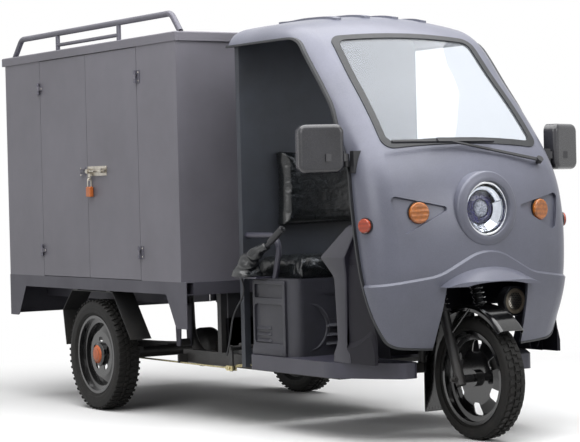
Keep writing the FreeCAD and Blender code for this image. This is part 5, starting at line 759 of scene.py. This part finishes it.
# crease lines of a tight cover: ridged noise stretched along x, with a finer one over it
creaseLook = {"pitch": (16, 30, 30), "ridge": 2.2, "finer": 2.3, "shift": (7, 3, 1),
              "shares": (0.7, 0.3), "level": 0.45}


def creased(mesh, amount, strength):
    mesh.update()
    normals = [v.normal.copy() for v in mesh.vertices]
    mainShare, fineShare = creaseLook["shares"]
    for v, n in zip(mesh.vertices, normals):
        p = Vector([c * pitch for c, pitch in zip(v.co, creaseLook["pitch"])])
        ridge = 1 - abs(noise.noise(p)) * creaseLook["ridge"]
        fine = 1 - abs(noise.noise(p * creaseLook["finer"] + Vector(creaseLook["shift"]))) * creaseLook["ridge"]
        v.co += n * amount * strength(v.co) * (mainShare * ridge + fineShare * fine - creaseLook["level"])


def subdivided(holder):
    level = holder.modifiers.new("smooth", "SUBSURF")
    level.levels = level.render_levels = 1
    result = bakedMesh(holder)
    bpy.data.objects.remove(holder)
    return result


# seat cushion: vinyl over foam on the seat lid, creased most within 120 mm of its front edge
seatCushion = {"voxel": 0.0065, "cap": 0.009, "crease": 0.0045, "front": 0.12, "fade": 0.10,
               "frontShare": 0.8, "share": 0.25, "crown": 0.008}
pad, padMesh = softPad("seatCushion", "seat_cushion", seatCushion["voxel"], seatCushion["cap"])
low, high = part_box("seat_cushion")


def towardsFront(p):
    nearness = max(0.0, min(1.0, (low.y + seatCushion["front"] - p.y) / seatCushion["fade"]))
    return nearness * seatCushion["frontShare"] + seatCushion["share"]


creased(padMesh, seatCushion["crease"], towardsFront)
for v in padMesh.vertices:
    v.co.z = max(v.co.z, low.z)
    v.co.z = min(v.co.z, high.z + seatCushion["crown"])
cushion = givePiece("seatCushion", subdivided(pad), vinyl, "frame")
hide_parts("seat_cushion")
# backrest: the same cover on a board against the back wall
seatBack = {"voxel": 0.006, "cap": 0.008, "crease": 0.002, "share": 0.5}
pad, padMesh = softPad("seatBack", "seat_backrest", seatBack["voxel"], seatBack["cap"])
low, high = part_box("seat_backrest")
creased(padMesh, seatBack["crease"], lambda p: seatBack["share"])
for v in padMesh.vertices:
    v.co.y = min(v.co.y, high.y)
backrest = givePiece("seatBackrest", subdivided(pad), vinyl, "frame")
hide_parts("seat_backrest")
print("cushions blown")

# gaiter of the parking lever: leathercloth sleeve, broad on the bracket and gathered at the grip;
# flange is the share of the sleeve that lies on the bracket, lip its overhang at the edge and inside,
# square how boxy the foot is, swirl and uneven how the folds wander round it
gaiter = {"pivot": (-0.505, -0.500, 0.705), "angle": 30, "length": 0.180, "foot": (-0.511, -0.500, 0.6645),
          "bow": (0, 0.004, 0.085), "half": 0.060, "neck": 0.018, "fold": 0.0075, "folds": 3.2,
          "flange": 0.06, "flangeRise": 0.004, "square": 3.2, "lowest": 0.6640, "rings": 64, "around": 80,
          "lip": (0.0035, 0.004), "lean": 1.3, "gather": 1.35, "swirl": (1.2, 0.8), "uneven": (0.8, 0.7)}
a = math.radians(gaiter["angle"])
axis = Vector((0, -math.cos(a), math.sin(a)))
across = Vector((0, math.sin(a), math.cos(a)))
foot = Vector(gaiter["foot"])
bow = foot + Vector(gaiter["bow"])
grip = Vector(gaiter["pivot"]) + axis * gaiter["length"]
rings = []
for k in range(gaiter["rings"] + 1):
    share = k / gaiter["rings"]
    lift = max(0.0, share - gaiter["flange"]) / (1 - gaiter["flange"])
    middle = foot * (1 - lift) ** 2 + bow * 2 * lift * (1 - lift) + grip * lift ** 2
    lean = min(1.0, lift * gaiter["lean"])
    upward = (Vector((0, 1, 0)) * (1 - lean) + across * lean).normalized()
    gather = (1 - lift) ** gaiter["gather"]
    ring = []
    for i in range(gaiter["around"]):
        t = 2 * math.pi * i / gaiter["around"]
        c, s = math.cos(t), math.sin(t)
        corner = (abs(c) ** gaiter["square"] + abs(s) ** gaiter["square"]) ** (-1 / gaiter["square"])
        swirl = gaiter["swirl"][0] * math.sin(t * 2 + 0.6) + gaiter["swirl"][1] * math.sin(t * 3)
        wave = math.sin(lift * gaiter["folds"] * 2 * math.pi + swirl)
        uneven = gaiter["uneven"][0] + gaiter["uneven"][1] * noise.noise(Vector((c, s, lift * 3)) * 1.4)
        puff = gaiter["fold"] * wave * math.sin(math.pi * min(1.0, lift * 1.05)) * uneven
        if share < gaiter["flange"]:
            puff = gaiter["lip"][1 if k else 0]
        radius = (gaiter["half"] * gather + gaiter["neck"] * (1 - gather)) * (corner * gather + 1 - gather) + puff
        q = middle + Vector((radius * c, 0, 0)) + upward * radius * s
        if share < gaiter["flange"]:
            q.z = foot.z + share / gaiter["flange"] * gaiter["flangeRise"]
        q.z = max(q.z, gaiter["lowest"])
        ring.append(q)
    rings.append(ring)
boot = newPiece("leverGaiter", skinned(rings), vinyl)
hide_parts("lever_boot")
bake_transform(boot)
print("gaiter made")

# headlamp inside: violet ring, frosted LED cluster, chrome hood lip and lower facets;
# profiles are (radius, behind the face), arcs (start angle, sweep, steps)
headlamp = {
    "centre": (0, -1.524, 0.937),
    "ring": [(0.064, 0.052), (0.062, 0.045), (0.038, 0.036), (0.036, 0.040), (0.036, 0.060), (0.064, 0.060)],
    "led": [(0.0, 0.029), (0.014, 0.030), (0.026, 0.033), (0.033, 0.038), (0.0355, 0.046), (0.0355, 0.058),
            (0.0, 0.058)],
    "hood": [(0.088, 0.016), (0.074, 0.030), (0.070, 0.046), (0.0715, 0.046), (0.0755, 0.031),
             (0.0895, 0.017)],
    "hoodArc": (20, 140, 24),
    "facets": [(0.093, 0.022), (0.083, 0.031), (0.074, 0.038), (0.066, 0.043), (0.066, 0.046),
               (0.093, 0.025)],
    "facetArc": (162, 216, 14),
}


def lampArc(profile, arc):
    start, sweep, steps = arc
    rings = []
    for k in range(steps + 1):
        t = math.radians(start + sweep * k / steps)
        rings.append([Vector(headlamp["centre"]) + Vector((math.cos(t) * r, h, math.sin(t) * r))
                      for r, h in profile])
    return skinned(rings)


ring = turned(headlamp["ring"], 64, headlamp["centre"], (0, 1, 0), loop=True)
givePiece("lampRing", ring, violetRing, "frame")
givePiece("lampLed", turned(headlamp["led"], 48, headlamp["centre"], (0, 1, 0)), ledLens, "frame")
givePiece("lampHood", lampArc(headlamp["hood"], headlamp["hoodArc"]), chrome, "frame")
givePiece("lampFacets", lampArc(headlamp["facets"], headlamp["facetArc"]), chrome, "frame",
          smooth=False)

# orange disc on each hub cap: (radius, proud of the cap)
hubDisc = {"axle": (0.730, 0.265), "profile": [(0.0, 0.0012), (0.018, 0.0012), (0.026, 0.0002),
                                               (0.034, -0.0026), (0.044, -0.0076), (0.044, -0.0100),
                                               (0.026, -0.0022), (0.0, -0.0012)]}
for side, label in sides:
    body = "rear_wheel_" + label.lower()
    low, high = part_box(body)
    centre = (low.x if side < 0 else high.x, *hubDisc["axle"])
    givePiece("hubDisc" + label, turned(hubDisc["profile"], 48, centre, (side, 0, 0)), orangePlastic, body)
print("lamp and hub details made")


# rounded rectangle in (u, v), counter-clockwise about its middle
def roundedOutline(halfU, halfV, radius, steps=6):
    points = []
    for cu, cv, start in ((1, 1, 0), (-1, 1, 90), (-1, -1, 180), (1, -1, 270)):
        for k in range(steps + 1):
            t = math.radians(start + 90 * k / steps)
            points.append((cu * (halfU - radius) + radius * math.cos(t),
                           cv * (halfV - radius) + radius * math.sin(t)))
    return points


# the same between two limits each way
def rounded(u0, u1, v0, v1, radius):
    middleU, middleV = (u0 + u1) / 2, (v0 + v1) / 2
    return [(middleU + u, middleV + v) for u, v in roundedOutline((u1 - u0) / 2, (v1 - v0) / 2, radius)]


# flat plate in (u, v) from an outline and its holes, edges eased by a small bevel; put places each point
def plated(loops, thick, ease, put):
    curve = bpy.data.curves.new("plate", "CURVE")
    curve.dimensions = "2D"
    curve.fill_mode = "BOTH"
    curve.extrude = thick / 2 - ease
    curve.bevel_depth = ease
    curve.bevel_resolution = 2
    curve.offset = -ease
    for loop in loops:
        spline = curve.splines.new("POLY")
        spline.points.add(len(loop) - 1)
        spline.use_cyclic_u = True
        for spot, (u, v) in zip(spline.points, loop):
            spot.co = (u, v, 0, 1)
    holder = benchObject("plate", curve)
    mesh = bakedMesh(holder)
    bpy.data.objects.remove(holder)
    for v in mesh.vertices:
        v.co = put(*v.co)
    return cleaned(mesh)


# seat box dressing on each side: raised frame with hand recess, panel, plinth, louvres, front arc and seam
seatBox = {
    "side": 0.470, "front": -0.800, "crisp": 40,
    "frame": {"thick": 0.010, "ease": 0.0012, "loops": (
        (-0.748, -0.494, 0.3275, 0.648, 0.012), (-0.733, -0.508, 0.572, 0.630, 0.010),
        (-0.733, -0.506, 0.374, 0.545, 0.020))},
    "panel": {"thick": 0.0012, "ease": 0.0004, "loops": ((-0.745, -0.497, 0.360, 0.560, 0.012),)},
    "plinth": [(0.0, 0.3275), (0.018, 0.3275), (0.019, 0.331), (0.0185, 0.352), (0.016, 0.358),
               (0.0095, 0.378), (0.0, 0.380)],
    "plinthEnds": ((-0.498, 1.0), (-0.730, 1.0), (-0.742, 0.75), (-0.748, 0.3)),
    "louvre": [(-0.0070, 0.0), (0.0080, 0.0), (0.0070, 0.0020), (-0.0040, 0.0105), (-0.0062, 0.0110),
               (-0.0070, 0.0095)],
    "louvreEnds": ((0.0, 0.15), (0.006, 0.9), (0.009, 1.0)),
    "sideLouvres": {"half": 0.054, "y": -0.573, "z": (0.443, 0.417, 0.390), "lift": 0.001},
    "frontLouvres": {"half": 0.075, "x": 0.232, "z": (0.452, 0.414, 0.376), "sink": 0.0002},
    "arc": {"x": 0.397, "z": 0.448, "radius": 0.100, "wire": 0.0065, "half": 84, "steps": 32, "around": 12,
            "sink": 0.0015, "broad": 1.6, "tip": 0.15, "swell": 0.6},
    "seam": ((0.320, 0.627), (0.320, 0.584), (0.262, 0.584), (0.236, 0.580), (0.228, 0.562), (0.228, 0.542)),
    "seamWire": 0.0014,
}


# pressed louvre: its lip fades out at both ends, (in from the end, share of the lip)
def louvreMesh(half):
    ends = seatBox["louvreEnds"]
    stations = [(inset - half, share) for inset, share in ends]
    stations += [(half - inset, share) for inset, share in reversed(ends)]
    return skinned([[Vector((along, up, out * share)) for up, out in seatBox["louvre"]]
                    for along, share in stations])


sideSpots, frontSpots = [], []
for side, label in sides:
    for pieceName in ("frame", "panel"):
        plate = seatBox[pieceName]
        face = seatBox["side"] + plate["thick"] / 2
        mesh = plated([rounded(*loop) for loop in plate["loops"]], plate["thick"], plate["ease"],
                      lambda u, v, out: (side * (face + out), u, v))
        givePiece("seat" + pieceName.title() + label, mesh, seatPlastic, "frame",
                  crisp=seatBox["crisp"])
    rings = [[Vector((side * (seatBox["side"] + out * share), y, z)) for out, z in seatBox["plinth"]]
             for y, share in seatBox["plinthEnds"]]
    givePiece("seatPlinth" + label, skinned(rings), seatPlastic, "frame",
              crisp=seatBox["crisp"])
    row = seatBox["sideLouvres"]
    sideSpots += [((side * (seatBox["side"] + row["lift"]), row["y"], z), (side, 0, 0)) for z in row["z"]]
    row = seatBox["frontLouvres"]
    frontSpots += [((side * row["x"], seatBox["front"] + row["sink"], z), (0, -1, 0)) for z in row["z"]]
    arc = seatBox["arc"]
    middle = Vector((side * arc["x"], seatBox["front"] + arc["sink"], arc["z"]))
    rings = []
    for k in range(arc["steps"] + 1):
        share = k / arc["steps"]
        t = math.radians(arc["half"] * (2 * share - 1))
        thick = arc["wire"] * (arc["tip"] + (1 - arc["tip"]) * math.sin(math.pi * share) ** arc["swell"])
        outward = Vector((-side * math.cos(t), 0, math.sin(t)))
        ring = []
        for i in range(arc["around"]):
            a = 2 * math.pi * i / arc["around"]
            reach = arc["radius"] + thick * arc["broad"] * math.cos(a)
            ring.append(middle + outward * reach + Vector((0, -thick * math.sin(a), 0)))
        rings.append(ring)
    givePiece("seatArc" + label, skinned(rings), seatPlastic, "frame")
    seam = tubeMesh([(side * x, seatBox["front"], z) for x, z in seatBox["seam"]], seatBox["seamWire"])
    givePiece("seatSeam" + label, seam, seatPlastic, "frame")
for name, spots in (("sideLouvres", sideSpots), ("frontLouvres", frontSpots)):
    setOnPoints(name, spots, louvreMesh(seatBox[name]["half"]), 1.0, seatPlastic, "frame",
                smooth=False)

# moulded cheek along the rear edge of the leg shield, each side: (height, rear, front, outer, inner)
shieldCheek = {"round": 0.007, "crisp": 24, "sections": (
    (0.3275, -1.109, -1.232, 0.481, 0.450), (0.362, -1.111, -1.226, 0.481, 0.450),
    (0.392, -1.124, -1.206, 0.477, 0.450), (0.416, -1.131, -1.196, 0.475, 0.450),
    (0.660, -1.120, -1.206, 0.478, 0.450), (0.680, -1.110, -1.207, 0.479, 0.449),
    (0.744, -1.042, -1.206, 0.485, 0.446), (0.752, -1.036, -1.206, 0.486, 0.446),
    (0.760, -1.040, -1.207, 0.483, 0.444), (0.872, -1.140, -1.219, 0.429, 0.398),
    (0.880, -1.149, -1.220, 0.423, 0.396), (0.884, -1.160, -1.218, 0.417, 0.400))}
for side, label in sides:
    rings = [[Vector((side * x, y, z)) for x, y in rounded(inner, outer, front, rear, shieldCheek["round"])]
             for z, rear, front, outer, inner in shieldCheek["sections"]]
    givePiece("shieldCheek" + label, skinned(rings), cheekPlastic, "frame",
              crisp=shieldCheek["crisp"])

# side wall of the leg shield, from the cheek to the cab's edge, over a thicker foot with a sloped ledge:
# stations (along, ledge height, top)
shieldWall = {
    "floor": 0.3275, "inner": 0.4625, "skin": 0.4665, "foot": 0.4785, "slope": 0.012, "crisp": 24,
    "stations": (
        (-1.204, 0.398, 0.716), (-1.216, 0.398, 0.720), (-1.260, 0.406, 0.720), (-1.300, 0.420, 0.720),
        (-1.326, 0.434, 0.718), (-1.340, 0.442, 0.690), (-1.352, 0.448, 0.640), (-1.364, 0.452, 0.582),
        (-1.375, 0.446, 0.522), (-1.386, 0.420, 0.466), (-1.396, 0.386, 0.414))}
for side, label in sides:
    rings = []
    for y, ledge, top in shieldWall["stations"]:
        profile = [("foot", shieldWall["floor"]), ("foot", ledge - shieldWall["slope"]),
                   ("skin", ledge + shieldWall["slope"]), ("skin", top), ("inner", top),
                   ("inner", shieldWall["floor"])]
        rings.append([Vector((side * shieldWall[face], y, z)) for face, z in profile])
    # the wall takes the leg shield plastic, darkened as painted shade
    givePiece("shieldWall" + label, skinned(rings), shadedKickPlastic, "frame",
              crisp=shieldWall["crisp"])

# black splash sheets: one behind the seat box, one above the batteries, cut out round the uprights
splash = {"thick": 0.003, "ease": 0.0008, "seatY": -0.4615, "seat": (-0.455, 0.455, 0.3275, 0.648, 0.015),
          "packY": -0.1485, "packHalf": 0.396, "packZ": (0.315, 0.574), "room": 0.012}
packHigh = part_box("battery_pack")[1]
notchX, notchZ = packHigh.x + splash["room"], packHigh.z + splash["room"]
packX, (packLow, packTop) = splash["packHalf"], splash["packZ"]
packLoop = [(-packX, packLow), (-notchX, packLow), (-notchX, notchZ), (notchX, notchZ), (notchX, packLow),
            (packX, packLow), (packX, packTop), (-packX, packTop)]
for sheetName, y, loop in (("seat", splash["seatY"], rounded(*splash["seat"])),
                           ("pack", splash["packY"], packLoop)):
    sheet = plated([loop], splash["thick"], splash["ease"], lambda u, v, out: (u, y + out, v))
    givePiece(sheetName + "Splash", sheet, blackPlastic, "frame", smooth=False)
print("seat box, shield and splash sheets dressed")

# silvered panes let into the back of the mirror heads: rings are (inset, depth)
mirrorPane = {"centre": (0.623, -1.260, 1.190), "turn": 20, "half": (0.0815, 0.0850), "round": 0.029,
              "rings": ((0, 0.0262), (0, 0.0274), (0.0015, 0.0284), (0.030, 0.0290)), "tighten": 0.9,
              "crisp": 30}
for side, label in sides:
    t = math.radians(mirrorPane["turn"])
    cx, cy, cz = mirrorPane["centre"]
    rings = []
    for inset, depth in mirrorPane["rings"]:
        ring = []
        halfU, halfV = (h - inset for h in mirrorPane["half"])
        for u, v in roundedOutline(halfU, halfV, mirrorPane["round"] - inset * mirrorPane["tighten"]):
            x = u * math.cos(t) - depth * math.sin(t) + cx
            y = u * math.sin(t) + depth * math.cos(t) + cy
            ring.append(Vector((side * x, y, cz + v)))
        rings.append(ring)
    givePiece("mirrorPane" + label, skinned(rings), mirrorGlass, "mirror_" + label.lower(),
              crisp=mirrorPane["crisp"])

# screws of hinges, bolt plate and keeper: 8 mm pan heads on the right side of the box
boxScrews = {"face": -0.623, "radius": 0.004, "hingeZ": (0.732, 1.540), "hingeY": ((0.247, 1), (1.260, -1)),
             "postY": 0.020, "postZ": (0.010, 0.048), "leafY": 0.021, "leafZ": 0.029,
             "boltY": (0.568, 0.742), "keeperY": 0.826, "boltZ": (1.128, 1.162),
             "head": [(0.0, 0.42), (0.40, 0.40), (0.78, 0.28), (1.0, 0.02), (1.0, -0.25), (0.0, -0.25)]}
postSpots, leafSpots = [], {1: [], -1: []}
for hingeY, way in boxScrews["hingeY"]:
    for hingeZ in boxScrews["hingeZ"]:
        postSpots += [(hingeY - way * boxScrews["postY"], hingeZ + dz) for dz in boxScrews["postZ"]]
        leafSpots[way].append((hingeY + way * boxScrews["leafY"], hingeZ + boxScrews["leafZ"]))
leafSpots[1] += [(y, z) for y in boxScrews["boltY"] for z in boxScrews["boltZ"]]
leafSpots[-1] += [(boxScrews["keeperY"], z) for z in boxScrews["boltZ"]]
for name, spots, body in (("hingeScrews", postSpots, "frame"),
                          ("frontDoorScrews", leafSpots[1], "door_front"),
                          ("rearDoorScrews", leafSpots[-1], "door_rear")):
    spots = [((boxScrews["face"], y, z), (-1, 0, 0)) for y, z in spots]
    head = turned(boxScrews["head"], 10, (0, 0, 0), (0, 0, 1))
    setOnPoints(name, spots, head, boxScrews["radius"], bareSteel, body)

# horn front: pale ring round a perforated cup; profiles are (radius, behind the face),
# hollow gives the plate's depth in the middle, its fall to the edge and the edge's radius
hornFront = {"centre": (0.225, -1.420, 0.550), "hole": 0.0028, "pitch": 0.0085, "holesWithin": 0.034,
             "hollow": (0.0036, 0.0022, 0.038), "rowShare": 0.866,
             "ring": [(0.0375, 0.0035), (0.040, 0.0012), (0.050, 0.0012), (0.053, 0.004), (0.053, 0.0078),
                      (0.0375, 0.0078)],
             "plate": [(0.0, 0.0036), (0.020, 0.0040), (0.038, 0.0058), (0.038, 0.0079), (0.0, 0.0079)],
             "plug": [(0.0, 0.14), (0.7, 0.12), (1.0, 0.0), (1.0, -0.3), (0.0, -0.3)]}
ring = turned(hornFront["ring"], 56, hornFront["centre"], (0, 1, 0), loop=True)
givePiece("hornRing", ring, hornCream, "frame")
givePiece("hornPlate", turned(hornFront["plate"], 48, hornFront["centre"], (0, 1, 0)), bareSteel, "frame")
holeSpots = []
deep, fall, edge = hornFront["hollow"]
for row in range(-5, 6):
    for column in range(-5, 6):
        u = (column + 0.5 * (row % 2)) * hornFront["pitch"]
        v = row * hornFront["pitch"] * hornFront["rowShare"]
        if math.hypot(u, v) < hornFront["holesWithin"]:
            depth = deep + fall * (math.hypot(u, v) / edge) ** 2
            holeSpots.append((Vector(hornFront["centre"]) + Vector((u, depth, v)), (0, -1, 0)))
plug = turned(hornFront["plug"], 8, (0, 0, 0), (0, 0, 1))
setOnPoints("hornHoles", holeSpots, plug, hornFront["hole"], blackPlastic, "frame")

# clevis pin and return spring of the brake linkage, plated
linkage = {"pin": (-0.478, -0.300, 0.252), "spring": ((-0.462, -0.316, 0.262), (-0.446, -0.420, 0.272)),
           "turns": 16, "turnSteps": 12, "coil": 0.0062, "wire": 0.0013, "tail": 0.10,
           "pinProfile": [(0.0, -0.019), (0.0065, -0.019), (0.0065, -0.0155), (0.004, -0.0150),
                          (0.004, 0.0185), (0.003, 0.0195), (0.0, 0.0195)]}
givePiece("clevisPin", turned(linkage["pinProfile"], 20, linkage["pin"], (1, 0, 0)), zinc, "brake_rod")
springStart, springEnd = (Vector(p) for p in linkage["spring"])
run = springEnd - springStart
sideways = run.orthogonal().normalized()
upright = run.normalized().cross(sideways)
steps = linkage["turns"] * linkage["turnSteps"]
route = [springStart - run * linkage["tail"]]
for k in range(steps + 1):
    t = 2 * math.pi * k / linkage["turnSteps"]
    route.append(springStart + run * (k / steps)
                 + (sideways * math.cos(t) + upright * math.sin(t)) * linkage["coil"])
route.append(springEnd + run * linkage["tail"])
spring = newPiece("linkageSpring", tubeMesh(route, linkage["wire"], roundness=1, smoothLine=False), zinc)
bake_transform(spring)
print("fasteners, horn and linkage made")

# fork coils: a merged copy that rides on the slider that carries them
forkCoils = {"node": "fork_springs", "body": "fork_lower", "lean": (0, 0.34202, 0.939693), "travel": 0.045}
lean = Vector(forkCoils["lean"]).normalized()
coilMesh = cleaned(nodes[forkCoils["node"]].data)
coils = givePiece("forkCoils", coilMesh, glossBlack, forkCoils["body"])
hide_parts(forkCoils["node"])
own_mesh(coils)

# leaf springs: each half, from the axle out to its eye on the frame, sliced between the clamp and the eye
leafSpring = {"node": "leaf_springs", "axleY": 0.73, "clamp": 0.058, "eye": 0.470, "cuts": 16}
axleY, clamp, eye = leafSpring["axleY"], leafSpring["clamp"], leafSpring["eye"]
for name, way in (("leafSpringFront", -1), ("leafSpringRear", 1)):
    bm = bmesh.new()
    bm.from_mesh(nodes[leafSpring["node"]].data)
    bmesh.ops.remove_doubles(bm, verts=bm.verts, dist=1e-6)
    for k in range(leafSpring["cuts"] + 1):
        y = axleY + way * (clamp + (eye - clamp) * k / leafSpring["cuts"])
        bmesh.ops.bisect_plane(bm, geom=bm.verts[:] + bm.edges[:] + bm.faces[:], plane_co=(0, y, 0),
                               plane_no=(0, 1, 0))
    cut = bmesh.ops.bisect_plane(bm, geom=bm.verts[:] + bm.edges[:] + bm.faces[:], plane_co=(0, axleY, 0),
                                 plane_no=(0, -way, 0), clear_outer=True)["geom_cut"]
    bmesh.ops.holes_fill(bm, edges=[e for e in cut if isinstance(e, bmesh.types.BMEdge)])
    half = newPiece(name, meshOf(bm), chassisPaint, smooth=None)
    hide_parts(leafSpring["node"])
    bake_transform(half)
print("springs made")
